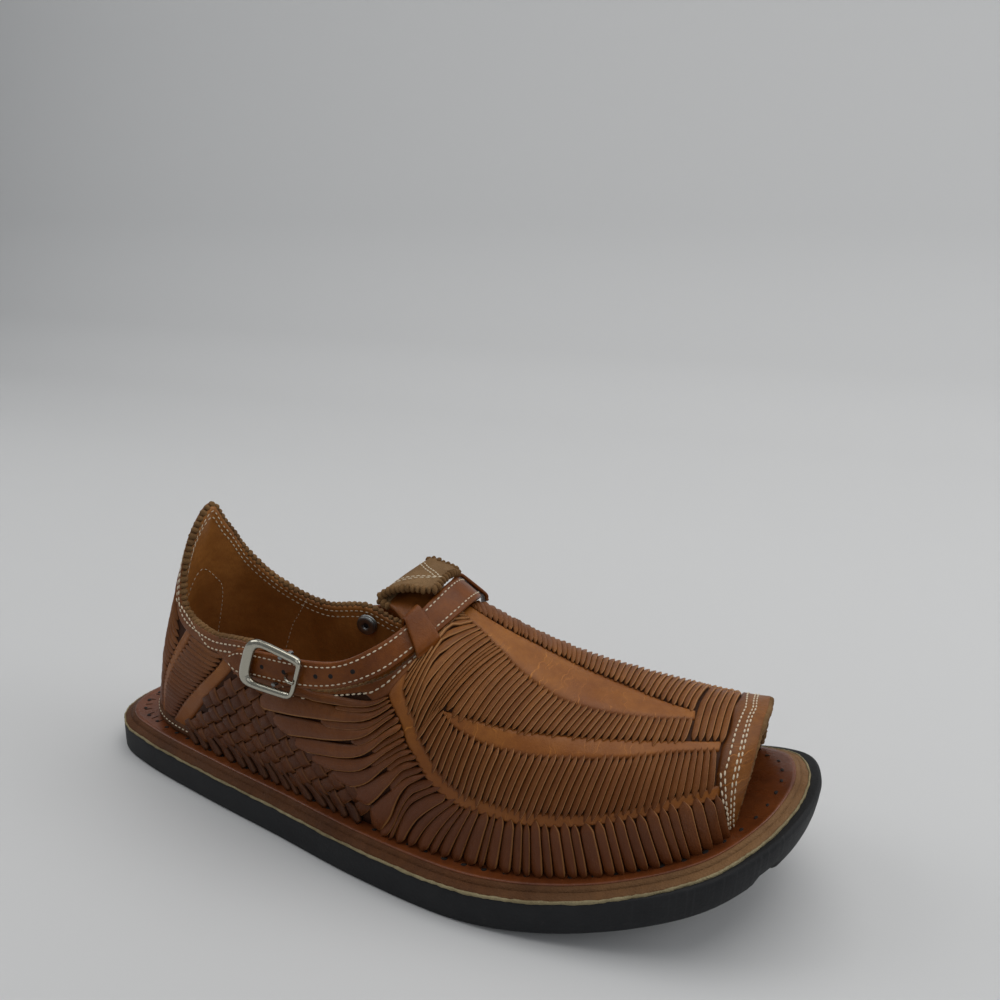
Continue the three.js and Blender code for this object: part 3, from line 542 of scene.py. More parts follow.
def medial_place(t):
    """The medial side's place for a lateral one: its heel has one section row more."""
    return t + np.interp(t, [8, 10], [0, 1])


def side_places(t, v, medial):
    return (LAST - medial_place(t), v) if medial else (t, v)


# ---------------------------------------------------------------- meshes

def to_frame(points):
    """Millimetres from the back of the heel to metres in the frame."""
    moved = np.array(points, float).reshape(-1, 3)
    moved[:, 0] -= HEEL_REST_X
    return moved * MM


def finish_piece(obj):
    """Closes doubled seams, turns the faces outwards and hands the piece to the frame."""
    work = bmesh.new()
    work.from_mesh(obj.data)
    bmesh.ops.remove_doubles(work, verts=work.verts, dist=2e-6)
    buried = [face for face in work.faces if all(len(edge.link_faces) > 2 for edge in face.edges)]
    bmesh.ops.delete(work, geom=buried, context="FACES")
    bmesh.ops.dissolve_degenerate(work, edges=work.edges, dist=1e-7)
    bmesh.ops.recalc_face_normals(work, faces=work.faces)
    work.to_mesh(obj.data)
    work.free()
    obj.data.shade_smooth()
    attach(obj, "root")
    return obj


def link(name, mesh):
    obj = bpy.data.objects.new(name.replace(" ", "_"), mesh)
    bpy.context.scene.collection.objects.link(obj)
    return obj


def add_numbers(mesh, attributes):
    """A named number, or vector, at each point of a mesh."""
    for key, values in attributes.items():
        values = np.asarray(values, np.float32)
        vector = values.ndim == 2
        layer = mesh.attributes.new(key, "FLOAT_VECTOR" if vector else "FLOAT", "POINT")
        layer.data.foreach_set("vector" if vector else "value", values.ravel())


def mesh_piece(name, points, faces, material, attributes=None):
    mesh = bpy.data.meshes.new(name)
    mesh.from_pydata(to_frame(points).tolist(), [], faces)
    mesh.materials.append(material)
    add_numbers(mesh, attributes or {})
    return finish_piece(link(name, mesh))


def grid_faces(rows, columns, start=0, loop=False):
    faces = []
    for i in range(rows - 1):
        for j in range(columns if loop else columns - 1):
            a = start + i * columns + j
            b = start + i * columns + (j + 1) % columns
            faces.append((a, b, b + columns, a + columns))
    return faces


def sheet_faces(rows, columns):
    """Faces of a closed sheet: a front grid, a back grid after it and the rims between them."""
    size = rows * columns
    faces = grid_faces(rows, columns) + [tuple(reversed(f)) for f in grid_faces(rows, columns, size)]
    rim = [i * columns for i in range(rows)]
    rim += [(rows - 1) * columns + j for j in range(1, columns)]
    rim += [i * columns + columns - 1 for i in range(rows - 2, -1, -1)]
    rim += list(range(columns - 2, 0, -1))
    for a, b in zip(rim, rim[1:] + rim[:1]):
        faces.append((a, b, b + size, a + size))
    return faces


def sheet_piece(name, front, back, material, attributes=None):
    rows, columns = front.shape[:2]
    points = np.concatenate([front.reshape(-1, 3), back.reshape(-1, 3)])
    doubled = {key: np.tile(np.ravel(values), 2) for key, values in (attributes or {}).items()}
    return mesh_piece(name, points, sheet_faces(rows, columns), material, doubled)


# ---------------------------------------------------------------- Geometry Nodes

def new_tree(name, inputs):
    tree = bpy.data.node_groups.new(name, "GeometryNodeTree")
    tree.interface.new_socket("Geometry", in_out="INPUT", socket_type="NodeSocketGeometry")
    for label, kind, default in inputs:
        socket = tree.interface.new_socket(label, in_out="INPUT", socket_type="NodeSocket" + kind)
        if default is not None:
            socket.default_value = default
    tree.interface.new_socket("Geometry", in_out="OUTPUT", socket_type="NodeSocketGeometry")
    return tree


def wire(tree, kind, links=None, **settings):
    """A node with its settings; links gives each input by name or number, as a socket or a value."""
    node = tree.nodes.new(kind)
    for key, value in settings.items():
        setattr(node, key, value)
    for key, value in (links or {}).items():
        socket = node.inputs[key]
        if isinstance(value, bpy.types.NodeSocket):
            tree.links.new(value, socket)
        else:
            socket.default_value = value
    return node


def maths(tree, operation, *values):
    return wire(tree, "ShaderNodeMath", dict(enumerate(values)), operation=operation).outputs[0]


def vector_maths(tree, operation, *values):
    return wire(tree, "ShaderNodeVectorMath", dict(enumerate(values)), operation=operation).outputs[0]


def named(tree, name, kind):
    return wire(tree, "GeometryNodeInputNamedAttribute", {"Name": name}, data_type=kind).outputs[0]


def scaled(tree, vector, factor):
    node = wire(tree, "ShaderNodeVectorMath", {0: vector, "Scale": factor}, operation="SCALE")
    return node.outputs[0]


def end_tree(tree, given, geometry):
    """Makes a tree's result real, gives it the material and hands it out."""
    whole = wire(tree, "GeometryNodeRealizeInstances", {0: geometry})
    painted = wire(tree, "GeometryNodeSetMaterial", {
        "Geometry": whole.outputs[0], "Material": given.outputs["Material"],
    })
    result = tree.nodes.new("NodeGroupOutput")
    tree.links.new(painted.outputs[0], result.inputs[0])
    return tree


def strip_tree():
    """Sweeps a padded section along rails that carry their own centre, side and lift vectors."""
    tree = new_tree("padded strips", [
        ("Section Points", "Int", 10),
        ("Squareness", "Float", 0.7),
        ("Lean", "Float", 0.0),
        ("Underside", "Float", 0.3),
        ("Material", "Material", None),
    ])
    given = tree.nodes.new("NodeGroupInput")
    rails = wire(tree, "GeometryNodeMeshToCurve", {"Mesh": given.outputs["Geometry"]})
    ring = wire(tree, "GeometryNodeCurvePrimitiveCircle", {
        "Resolution": given.outputs["Section Points"], "Radius": 1.0,
    })
    place = wire(tree, "ShaderNodeSeparateXYZ", {0: tree.nodes.new("GeometryNodeInputPosition").outputs[0]})

    def squared(value):
        size = maths(tree, "POWER", maths(tree, "ABSOLUTE", value), given.outputs["Squareness"])
        return maths(tree, "MULTIPLY", size, maths(tree, "SIGN", value))

    across = squared(place.outputs[0])
    rise = squared(place.outputs[1])
    below = maths(tree, "MULTIPLY", maths(tree, "MINIMUM", rise, 0.0), given.outputs["Underside"])
    leaning = maths(tree, "MULTIPLY_ADD", across, given.outputs["Lean"], 1.0)
    above = maths(tree, "MULTIPLY", maths(tree, "MAXIMUM", rise, 0.0), leaning)
    section = ring.outputs[0]
    for name, value in (("across", across), ("rise", maths(tree, "ADD", above, below))):
        section = wire(tree, "GeometryNodeStoreNamedAttribute", {
            "Geometry": section, "Name": name, "Value": value,
        }, data_type="FLOAT", domain="POINT").outputs[0]
    swept = wire(tree, "GeometryNodeCurveToMesh", {
        "Curve": rails.outputs[0], "Profile Curve": section, "Fill Caps": True,
    })
    sideways = scaled(tree, named(tree, "side", "FLOAT_VECTOR"), named(tree, "across", "FLOAT"))
    upwards = scaled(tree, named(tree, "lift", "FLOAT_VECTOR"), named(tree, "rise", "FLOAT"))
    shift = vector_maths(tree, "ADD", sideways, upwards)
    place = vector_maths(tree, "ADD", named(tree, "centre", "FLOAT_VECTOR"), shift)
    moved = wire(tree, "GeometryNodeSetPosition", {"Geometry": swept.outputs[0], "Position": place})
    return end_tree(tree, given, moved.outputs[0])


def bead_tree():
    """Sets small beads along paths at an even pitch, each along the path and facing its up vector."""
    tree = new_tree("beads on paths", [
        ("Pitch", "Float", 0.0025),
        ("Length", "Float", 0.0018),
        ("Width", "Float", 0.0008),
        ("Thickness", "Float", 0.0006),
        ("Turn", "Float", 0.0),
        ("Unevenness", "Float", 0.1),
        ("Seed", "Int", 5),
        ("Segments", "Int", 8),
        ("Material", "Material", None),
    ])
    given = tree.nodes.new("NodeGroupInput")
    paths = wire(tree, "GeometryNodeMeshToCurve", {"Mesh": given.outputs["Geometry"]})
    spots = wire(tree, "GeometryNodeCurveToPoints", {
        "Curve": paths.outputs[0], "Length": given.outputs["Pitch"],
    }, mode="LENGTH")
    turned = wire(tree, "FunctionNodeAlignRotationToVector", {
        "Vector": spots.outputs["Tangent"],
    }, axis="X")
    facing = wire(tree, "FunctionNodeAlignRotationToVector", {
        "Rotation": turned.outputs[0], "Vector": named(tree, "up", "FLOAT_VECTOR"),
    }, axis="Z", pivot_axis="X")
    twist = wire(tree, "FunctionNodeAxisAngleToRotation", {
        "Axis": (0.0, 0.0, 1.0), "Angle": given.outputs["Turn"],
    })
    both = wire(tree, "FunctionNodeRotateRotation", {
        "Rotation": facing.outputs[0], "Rotate By": twist.outputs[0],
    }, rotation_space="LOCAL")
    ball = wire(tree, "GeometryNodeMeshUVSphere", {
        "Segments": given.outputs["Segments"], "Rings": 4, "Radius": 0.5,
    })
    size = wire(tree, "ShaderNodeCombineXYZ", {
        0: given.outputs["Length"], 1: given.outputs["Width"], 2: given.outputs["Thickness"],
    })
    chance = wire(tree, "FunctionNodeRandomValue", {
        2: maths(tree, "SUBTRACT", 1.0, given.outputs["Unevenness"]),
        3: maths(tree, "ADD", 1.0, given.outputs["Unevenness"]),
        "Seed": given.outputs["Seed"],
    }, data_type="FLOAT")
    placed = wire(tree, "GeometryNodeInstanceOnPoints", {
        "Points": spots.outputs["Points"],
        "Instance": ball.outputs[0],
        "Rotation": both.outputs[0],
        "Scale": scaled(tree, size.outputs[0], chance.outputs[1]),
    })
    return end_tree(tree, given, placed.outputs[0])


STRIPS = strip_tree()
BEADS = bead_tree()


def grown(name, guide, tree, values):
    """Runs a tree on a guide mesh and keeps the result as a plain mesh."""
    source = link(name + " guide", guide)
    modifier = source.modifiers.new(tree.name, "NODES")
    modifier.node_group = tree
    sockets = {
        item.name: item.identifier for item in tree.interface.items_tree
        if item.item_type == "SOCKET" and item.in_out == "INPUT"
    }
    for key, value in values.items():
        modifier[sockets[key]] = value
    bpy.context.view_layer.update()
    evaluated = source.evaluated_get(bpy.context.evaluated_depsgraph_get())
    mesh = bpy.data.meshes.new_from_object(evaluated)
    mesh.name = name
    bpy.data.objects.remove(source)
    bpy.data.meshes.remove(guide)
    return finish_piece(link(name, mesh))


def guide_mesh(name, lines, values):
    """Polylines with vectors and numbers of their own at each point."""
    points = np.concatenate([np.asarray(line) for line in lines])
    edges = []
    start = 0
    for line in lines:
        edges += [(start + k, start + k + 1) for k in range(len(line) - 1)]
        start += len(line)
    mesh = bpy.data.meshes.new(name)
    mesh.from_pydata(to_frame(points).tolist(), edges, [])
    add_numbers(mesh, {key: np.concatenate(parts) for key, parts in values.items()})
    return mesh


def strips(name, rails, material, shape):
    """Padded strips from rails: (centre line, half-width vectors, lift vectors, shade)."""
    centres = [rail[0] for rail in rails]
    values = {
        "centre": [to_frame(line) for line in centres],
        "side": [np.asarray(rail[1]) * MM for rail in rails],
        "lift": [np.asarray(rail[2]) * MM for rail in rails],
        "shade": [np.full(len(rail[0]), rail[3]) for rail in rails],
    }
    points, squareness, lean, underside = SECTION_SHAPES[shape]
    return grown(name, guide_mesh(name, centres, values), STRIPS, {
        "Section Points": points, "Squareness": squareness, "Lean": lean,
        "Underside": underside, "Material": material,
    })


def beads(name, paths, ups, material, size, turn=0.0, uneven=0.08, segments=6):
    """Rows of beads of a named size along paths, each with the way up at its points."""
    pitch, length, width, thickness = BEAD_SIZES[size]
    return grown(name, guide_mesh(name, paths, {"up": ups}), BEADS, {
        "Pitch": pitch * MM, "Length": length * MM, "Width": width * MM, "Thickness": thickness * MM,
        "Turn": turn, "Unevenness": uneven, "Segments": segments, "Material": material,
    })


def studs(name, places, ups, radius, thickness, material):
    """Low round dots, each flat on its own up vector."""
    ring, rows = 14, 5
    points = []
    faces = []
    for place, up in zip(np.asarray(places, float), np.asarray(ups, float)):
        first = unit(np.cross(up, [0.31, 0.2, 0.93]))
        second = np.cross(up, first)
        for k in range(rows):
            tilt = np.pi * (k + 0.5) / rows
            turn = np.arange(ring) / ring * 2 * np.pi
            flat = np.outer(np.cos(turn), first) + np.outer(np.sin(turn), second)
            points.append(place + radius * np.sin(tilt) * flat + thickness * np.cos(tilt) * up)
        start = len(points) * ring - rows * ring
        faces += grid_faces(rows, ring, start, loop=True)
        faces.append(tuple(start + k for k in range(ring)))
        faces.append(tuple(start + (rows - 1) * ring + k for k in reversed(range(ring))))
    return mesh_piece(name, np.concatenate(points), faces, material)


# ---------------------------------------------------------------- materials

def principled(name, roughness, metallic=0.0, specular=0.5, coat=0.0, coat_roughness=0.2):
    material = bpy.data.materials.new(name)
    material.use_nodes = True
    shader = material.node_tree.nodes["Principled BSDF"]
    shader.inputs["Roughness"].default_value = roughness
    shader.inputs["Metallic"].default_value = metallic
    shader.inputs["Specular IOR Level"].default_value = specular
    shader.inputs["Coat Weight"].default_value = coat
    shader.inputs["Coat Roughness"].default_value = coat_roughness
    return material, material.node_tree, shader


def noise(tree, vector, scale, detail=3.0, roughness=0.55):
    """Patchy noise over a place."""
    return wire(tree, "ShaderNodeTexNoise", {
        "Vector": vector, "Scale": scale, "Detail": detail, "Roughness": roughness,
    }).outputs["Fac"]


def spread(tree, value, low, high, to_low=0.0, to_high=1.0):
    """Stretches a value from one range to another, held at both ends."""
    return wire(tree, "ShaderNodeMapRange", {
        "Value": value, "From Min": low, "From Max": high, "To Min": to_low, "To Max": to_high,
    }).outputs[0]


def tint(tree, factor, first, second, mode="MIX"):
    """Mixes two colours; each is a socket or an RGB triple."""
    node = tree.nodes.new("ShaderNodeMix")
    node.data_type = "RGBA"
    node.blend_type = mode
    for socket, value in ((node.inputs[0], factor), (node.inputs[6], first), (node.inputs[7], second)):
        if isinstance(value, bpy.types.NodeSocket):
            tree.links.new(value, socket)
        elif isinstance(value, tuple):
            socket.default_value = (*value, 1.0)
        else:
            socket.default_value = value
    return node.outputs[2]


def attribute(tree, name):
    return wire(tree, "ShaderNodeAttribute", attribute_name=name).outputs["Fac"]


def object_place(tree):
    return wire(tree, "ShaderNodeTexCoord").outputs["Object"]


def axis(tree, place, number):
    """One of x, y and z of a place, by its number from 0."""
    return wire(tree, "ShaderNodeSeparateXYZ", {0: place}).outputs[number]


def streaks(tree, value, scale, detail):
    """Noise along one number, such as the way along a band."""
    return wire(tree, "ShaderNodeTexNoise", {"W": value, "Scale": scale, "Detail": detail},
                noise_dimensions="1D").outputs["Fac"]


def surface(tree, shader, colour, relief, strength, depth):
    """Links a colour and a relief to the shader."""
    tree.links.new(colour, shader.inputs["Base Color"])
    bump = wire(tree, "ShaderNodeBump", {"Height": relief, "Strength": strength, "Distance": depth})
    tree.links.new(bump.outputs[0], shader.inputs["Normal"])


def leather(name, base, light, dark, roughness=0.5, coat=0.12, grain=0.25, raw=None, low=None,
            banded=0.0, toeward=None):
    """Waxed leather: patchy colour and grain. raw is the colour of the cut edge of narrow strips, laid on
    their raised edges, where it also serves as a painted highlight, and it turns on painted shade in the
    gaps between them. low is the colour towards the sole, and toeward the colour at the toe. banded
    paints shade on a band's edges and adds fine cracks."""
    material, tree, shader = principled(name, roughness, specular=0.2, coat=coat, coat_roughness=0.3)
    place = object_place(tree)
    patches = noise(tree, place, 42.0, 4.0, 0.62)
    colour = tint(tree, spread(tree, patches, 0.36, 0.66), dark, light)
    colour = tint(tree, 0.55, colour, base)
    mottle = noise(tree, place, 330.0, 4.0, 0.65)
    colour = tint(tree, spread(tree, mottle, 0.35, 0.72, 0.0, 0.4), colour, dark)
    if low is not None:
        colour = tint(tree, spread(tree, axis(tree, place, 2), 0.03, 0.068, 0.85, 0.0), colour, low)
    if toeward is not None:
        faded = maths(tree, "MULTIPLY", spread(tree, axis(tree, place, 0), 0.15, 0.235),
                      spread(tree, patches, 0.3, 0.7, 0.35, 0.9))
        colour = tint(tree, faded, colour, toeward)
    relief = noise(tree, place, 620.0, 5.0, 0.65)
    if raw is not None:
        rise = attribute(tree, "rise")
        shade = attribute(tree, "shade")
        colour = tint(tree, spread(tree, shade, 0.0, 1.0, 0.0, 0.4), colour, dark)
        # The cut edge colour on each strip's raised edge: partly the leather's real cut edge, partly a
        # painted highlight.
        edge = maths(tree, "MULTIPLY", spread(tree, attribute(tree, "across"), 0.74, 0.93),
                     spread(tree, rise, 0.45, 0.95, 0.0, 0.85))
        colour = tint(tree, edge, colour, raw)
        # Painted shade: the low sides of each strip go near black, standing in for the shade in the gaps
        # between the strips.
        gap = tuple(0.2 * channel for channel in dark)
        colour = tint(tree, spread(tree, rise, 0.2, 0.72, 0.97, 0.0), colour, gap)
        row = maths(tree, "MULTIPLY_ADD", attribute(tree, "across"), 3.0,
                    maths(tree, "MULTIPLY", shade, 40.0))
        relief = maths(tree, "MULTIPLY_ADD", streaks(tree, row, 1.6, 3.0), 0.7, relief)
    if banded:
        # Painted shade: the band darkens towards its edges, where it curves down beside its neighbours.
        edge = attribute(tree, "edge")
        colour = tint(tree, spread(tree, edge, 0.62, 1.0, 0.0, 0.8), colour, dark)
        wander = maths(tree, "MULTIPLY_ADD", noise(tree, place, 160.0, 2.0), 7.0, attribute(tree, "run"))
        crack = maths(tree, "ABSOLUTE", maths(tree, "SUBTRACT", streaks(tree, wander, 0.55, 2.0), 0.5))
        broken = spread(tree, noise(tree, place, 120.0, 2.0), 0.45, 0.62)
        crack = maths(tree, "MULTIPLY", spread(tree, crack, 0.0, 0.012, banded, 0.0), broken)
        colour = tint(tree, crack, colour, tuple(min(1.0, 1.7 * channel) for channel in light))
    worn = noise(tree, place, 95.0, 3.0, 0.5)
    tree.links.new(spread(tree, worn, 0.3, 0.7, roughness - 0.06, roughness + 0.14),
                   shader.inputs["Roughness"])
    pores = wire(tree, "ShaderNodeTexVoronoi", {"Vector": place, "Scale": 1700.0}).outputs["Distance"]
    surface(tree, shader, colour, maths(tree, "MULTIPLY_ADD", pores, 0.35, relief), grain, 0.0006)
    return material


def plain(name, colour, roughness, metallic=0.0):
    material, _, shader = principled(name, roughness, metallic)
    shader.inputs["Base Color"].default_value = (*colour, 1.0)
    return material


TAN = (0.265, 0.088, 0.012)
TAN_LIGHT = (0.34, 0.13, 0.022)
TAN_DARK = (0.14, 0.038, 0.006)
BROWN = (0.235, 0.083, 0.017)
BROWN_LIGHT = (0.3, 0.115, 0.027)
BROWN_DARK = (0.1, 0.028, 0.006)
RED_BROWN = (0.12, 0.032, 0.008)
# Colour of the strips' cut edges, also laid on their raised edges as a painted highlight.
RAW_EDGE_AND_HIGHLIGHT = (0.55, 0.28, 0.11)

band_leather = leather("band leather", TAN, TAN_LIGHT, TAN_DARK, 0.42, 0.1,
                       low=(0.21, 0.062, 0.009), banded=0.6)
toe_leather = leather("toe band leather", (0.21, 0.07, 0.01), (0.3, 0.112, 0.018),
                      (0.07, 0.018, 0.004), 0.42, 0.08, banded=0.6)
pleat_leather = leather("pleated leather", BROWN, BROWN_LIGHT, BROWN_DARK, 0.48, 0.05, 0.45,
                        raw=RAW_EDGE_AND_HIGHLIGHT, low=RED_BROWN)
finger_leather = leather("side strip leather", (0.2, 0.063, 0.011), (0.3, 0.105, 0.02),
                         (0.07, 0.018, 0.004), 0.4, 0.12, 0.45, raw=(0.42, 0.2, 0.07), low=RED_BROWN)
weave_leather = leather("woven strip leather", (0.115, 0.031, 0.006), (0.17, 0.052, 0.01),
                        (0.036, 0.009, 0.002), 0.42, 0.06, 0.4, raw=(0.2, 0.08, 0.025))
feet_leather = leather("sewn foot leather", (0.08, 0.022, 0.005), (0.13, 0.04, 0.009),
                       (0.025, 0.007, 0.002), 0.45, 0.08, 0.4, raw=(0.12, 0.045, 0.015))
# Near black: painted shade for the gaps between the strips, where this wall shows through.
under_leather_painted_shade = leather("under leather in painted shade", (0.045, 0.014, 0.004), (0.07, 0.022, 0.006),
                        (0.02, 0.006, 0.002), 0.7, 0.0)
facing_leather = leather("facing leather", (0.18, 0.055, 0.009), (0.26, 0.088, 0.016),
                         (0.08, 0.02, 0.004), 0.42, 0.1)
strap_leather = leather("strap leather", (0.165, 0.043, 0.004), (0.26, 0.08, 0.009),
                        (0.065, 0.015, 0.002), 0.36, 0.06)
lining_leather = leather("lining leather", (0.36, 0.14, 0.03), (0.48, 0.2, 0.05),
                         (0.16, 0.052, 0.011), 0.34, 0.25)
footbed_leather = leather("footbed leather", (0.16, 0.042, 0.011), (0.24, 0.07, 0.018),
                          (0.06, 0.015, 0.005), 0.26, 0.4)
cut_leather = leather("cut edge leather", (0.095, 0.034, 0.01), (0.14, 0.053, 0.017),
                      (0.04, 0.013, 0.004), 0.62, 0.0, 0.8, toeward=(0.24, 0.13, 0.055))
raw_leather = leather("raw cream edge", (0.3, 0.25, 0.14), (0.42, 0.36, 0.22), (0.12, 0.085, 0.04),
                      0.9, 0.0, 1.0)
suede = leather("napped suede", (0.24, 0.14, 0.062), (0.34, 0.215, 0.11), (0.1, 0.052, 0.022),
                0.9, 0.0, 0.9)
pinked_leather = leather("pinked edge leather", (0.19, 0.1, 0.036), (0.32, 0.18, 0.075),
                         (0.05, 0.021, 0.007), 0.8, 0.0, 0.8)
thread = plain("waxed thread", (0.62, 0.52, 0.38), 0.7)
hole_dark = plain("hole shadow", (0.008, 0.004, 0.003), 0.9)
nickel = plain("worn nickel", (0.43, 0.41, 0.34), 0.2, 1.0)
steel = plain("dull steel", (0.24, 0.25, 0.25), 0.4, 1.0)


def tyre_rubber():
    """Dull black rubber with dust, and lighter streaks at the toe that are painted sheen."""
    material, tree, shader = principled("tyre rubber", 0.66, specular=0.3)
    place = object_place(tree)
    patches = noise(tree, place, 60.0, 4.0, 0.6)
    colour = tint(tree, spread(tree, patches, 0.3, 0.75), (0.006, 0.0065, 0.008), (0.014, 0.0145, 0.016))
    dust = noise(tree, place, 300.0, 5.0, 0.7)
    colour = tint(tree, spread(tree, dust, 0.6, 0.85, 0.0, 0.3), colour, (0.06, 0.057, 0.05))
    streak_noise = streaks(tree, attribute(tree, "run"), 0.9, 4.0)
    toe = spread(tree, axis(tree, place, 0), 0.19, 0.24, 0.0, 0.2)
    # Painted sheen: lighter streaks on the rubber at the toe.
    painted_toe_sheen = maths(tree, "MULTIPLY", spread(tree, streak_noise, 0.52, 0.72), toe)
    colour = tint(tree, painted_toe_sheen, colour, (0.05, 0.052, 0.055))
    fine = noise(tree, place, 900.0, 4.0, 0.7)
    relief = maths(tree, "MULTIPLY_ADD", maths(tree, "MULTIPLY", streak_noise, toe), 2.0, fine)
    surface(tree, shader, colour, relief, 0.5, 0.0005)
    return material


rubber = tyre_rubber()

# ---------------------------------------------------------------- sole

CONTROL = (
    [HEEL_POINT] + [(x, lateral) for _, x, lateral, _ in SOLE_OUTLINE] + [TOE_POINT]
    + [(x, medial) for _, x, _, medial in reversed(SOLE_OUTLINE)]
)


def outline_points(count):
    """The sole's outline as an even run of points on a centripetal curve through CONTROL."""
    control = np.array(CONTROL, float)
    total = len(control)
    result = []
    for k in range(count):
        place = k / count * total
        i = int(place)
        p = [control[(i + d) % total] for d in (-1, 0, 1, 2)]
        gaps = [np.linalg.norm(p[d + 1] - p[d]) ** 0.5 for d in range(3)]
        a, b, c = gaps
        m1 = ((p[1] - p[0]) / a - (p[2] - p[0]) / (a + b) + (p[2] - p[1]) / b) * b
        m2 = ((p[2] - p[1]) / b - (p[3] - p[1]) / (b + c) + (p[3] - p[2]) / c) * b
        s = place - i
        result.append(p[1] + m1 * s + (-3 * p[1] + 3 * p[2] - 2 * m1 - m2) * s ** 2
                      + (2 * p[1] - 2 * p[2] + m1 + m2) * s ** 3)
    return np.array(result)


POINTS_PER_SPAN = 20
OUTLINE_COUNT = len(CONTROL) * POINTS_PER_SPAN
OUTLINE = outline_points(OUTLINE_COUNT)
OUTLINE_TANGENT = unit(np.roll(OUTLINE, -1, 0) - np.roll(OUTLINE, 1, 0))
OUTLINE_RUN = np.concatenate([[0], np.cumsum(np.linalg.norm(np.diff(OUTLINE, axis=0), axis=1))])


def sole_loop(inset, height, flare=0.0):
    """The outline moved inwards, at a height over the sprung ground, and outwards by flare at the toe."""
    to_toe = np.clip((OUTLINE[:, 0] - FLARE_START_X) / (SHOE_LENGTH - FLARE_START_X), 0, 1)
    shift = np.asarray(inset) - flare * to_toe
    x = OUTLINE[:, 0] - OUTLINE_TANGENT[:, 1] * shift
    y = OUTLINE[:, 1] + OUTLINE_TANGENT[:, 0] * shift
    return np.stack([x, y, spring(x) + height], -1)


def sole_layer(name, loops, material, across=10, base_depth=None):
    """A closed layer from stacked loops, the first lowest, with a grid of faces as each cap."""
    count = OUTLINE_COUNT
    points = list(loops)
    faces = grid_faces(len(loops), count, loop=True)
    start = len(loops) * count
    half = count // 2
    for cap, loop in enumerate((loops[0], loops[-1])):
        rows = []
        for k in range(half + 1):
            lateral = loop[k]
            medial = loop[(count - k) % count]
            share = np.linspace(0, 1, across + 1)[:, None]
            rows.append(lateral + (medial - lateral) * share)
        grid = np.array(rows)
        if cap == 0 and base_depth is not None:
            grid[..., 2] += base_depth(grid)
        points.append(grid.reshape(-1, 3))
        made = grid_faces(half + 1, across + 1, start)
        faces += made if cap == 0 else [tuple(reversed(f)) for f in made]
        start += grid.shape[0] * grid.shape[1]
    rest = sum(len(part) for part in points) - len(loops) * count
    run = np.concatenate([np.tile(OUTLINE_RUN, len(loops)), np.zeros(rest)])
    return mesh_piece(name, np.concatenate(points), faces, material, {"run": run})


TREAD_DEPTH = 2.5
TREAD_START_X = 12
TREAD_END_X = 284
# Fractions across the sole of the middles of the tread's lengthwise grooves
TREAD_GROOVES = [0.21, 0.405, 0.615, 0.81]
TOE_NOTCH = {"x": 289, "y": -26, "length": 40, "width": 4.5, "depth": 3.2, "turn": 0.5}


def notch_share(points):
    """1 inside the notch under the toe, 0 outside it."""
    turn = TOE_NOTCH["turn"]
    dx = points[..., 0] - TOE_NOTCH["x"]
    dy = points[..., 1] - TOE_NOTCH["y"]
    along = dx * math.cos(turn) + dy * math.sin(turn)
    across = dy * math.cos(turn) - dx * math.sin(turn)
    inside = np.clip((TOE_NOTCH["width"] / 2 + 0.5 - np.abs(across)) / 0.8, 0, 1)
    return inside * (np.abs(along) < TOE_NOTCH["length"] / 2)


def tread(grid):
    """How far each point of the sole's underside is cut up, by grooves and by the toe's notch."""
    across = np.linspace(0, 1, grid.shape[1])[None, :]
    depth = np.zeros(grid.shape[:2])
    for middle in TREAD_GROOVES:
        depth += np.clip((0.042 - np.abs(across - middle)) / 0.012, 0, 1)
    x = grid[..., 0]
    inside = np.clip((x - TREAD_START_X) / 4, 0, 1) * np.clip((TREAD_END_X - x) / 4, 0, 1)
    cut = notch_share(grid) * TOE_NOTCH["depth"]
    raised = grid[..., 2] - spring(x)
    return np.maximum(depth * inside * TREAD_DEPTH, np.maximum(cut - raised, 0))


def make_outsole():
    """The rubber layer, with its rounded edges, grooves and the notch at the toe."""
    # Columns: inset, height, flare past the leather at the toe
    section = [
        (0.9, 0.0, 1.9), (0.35, 0.35, 2.3), (0.1, 1.1, 2.6), (0.0, 3.3, 3.1), (0.0, 6.5, 3.6),
        (0.0, 9.8, 3.9), (0.05, 11.4, 3.6), (0.35, 12.0, 3.0),
    ]
    loops = []
    for inset, height, flare in section:
        loop = sole_loop(inset, height, flare)
        floor = spring(loop[:, 0]) + notch_share(loop) * TOE_NOTCH["depth"]
        loop[:, 2] = np.maximum(loop[:, 2], floor + 0.02 * height)
        loops.append(loop)
    piece = sole_layer("outsole rubber", loops, rubber, 60, tread)
    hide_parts("outsole")


def make_midsole():
    """The leather layer with its slanted cut side, and the raw cream edge on its foot."""
    bottom = MIDSOLE_Z - GAP
    top = INSOLE_Z
    wobble = 0.1 * np.sin(OUTLINE_RUN * 0.31) + 0.08 * np.sin(OUTLINE_RUN * 0.83 + 1)
    # Columns: inset, share of the wobble, height
    section = [
        (0.6, 1, bottom), (0.4, 1, bottom + 0.5), (0.9, 1, bottom + 1.0),
        (2.9, 0.5, top - 0.15), (4.0, 0, top - 0.2),
    ]
    loops = [sole_loop(inset + wobble * share, height) for inset, share, height in section]
    piece = sole_layer("midsole leather", loops, cut_leather)
    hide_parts("midsole")
    edge = sole_loop(0.35 + wobble, bottom + 0.35)
    edge = np.vstack([edge, edge[:1]])
    out = np.stack([-OUTLINE_TANGENT[:, 1], OUTLINE_TANGENT[:, 0], np.zeros(OUTLINE_COUNT)], -1)
    out = np.vstack([out, out[:1]])
    generator = np.random.default_rng(4)
    ragged = 0.75 + 0.5 * generator.random(len(edge))
    ragged[-1] = ragged[0]
    to_toe = 0.75 + 0.35 * np.clip((edge[:, 0] - 150) / 100, 0, 1)
    lift = np.tile([0, 0, 0.62], (len(edge), 1)) * (ragged * to_toe)[:, None]
    rail = (edge, out * (0.42 * ragged)[:, None], lift, 0.2)
    strips("raw midsole edge", [rail], raw_leather, "raw edge")


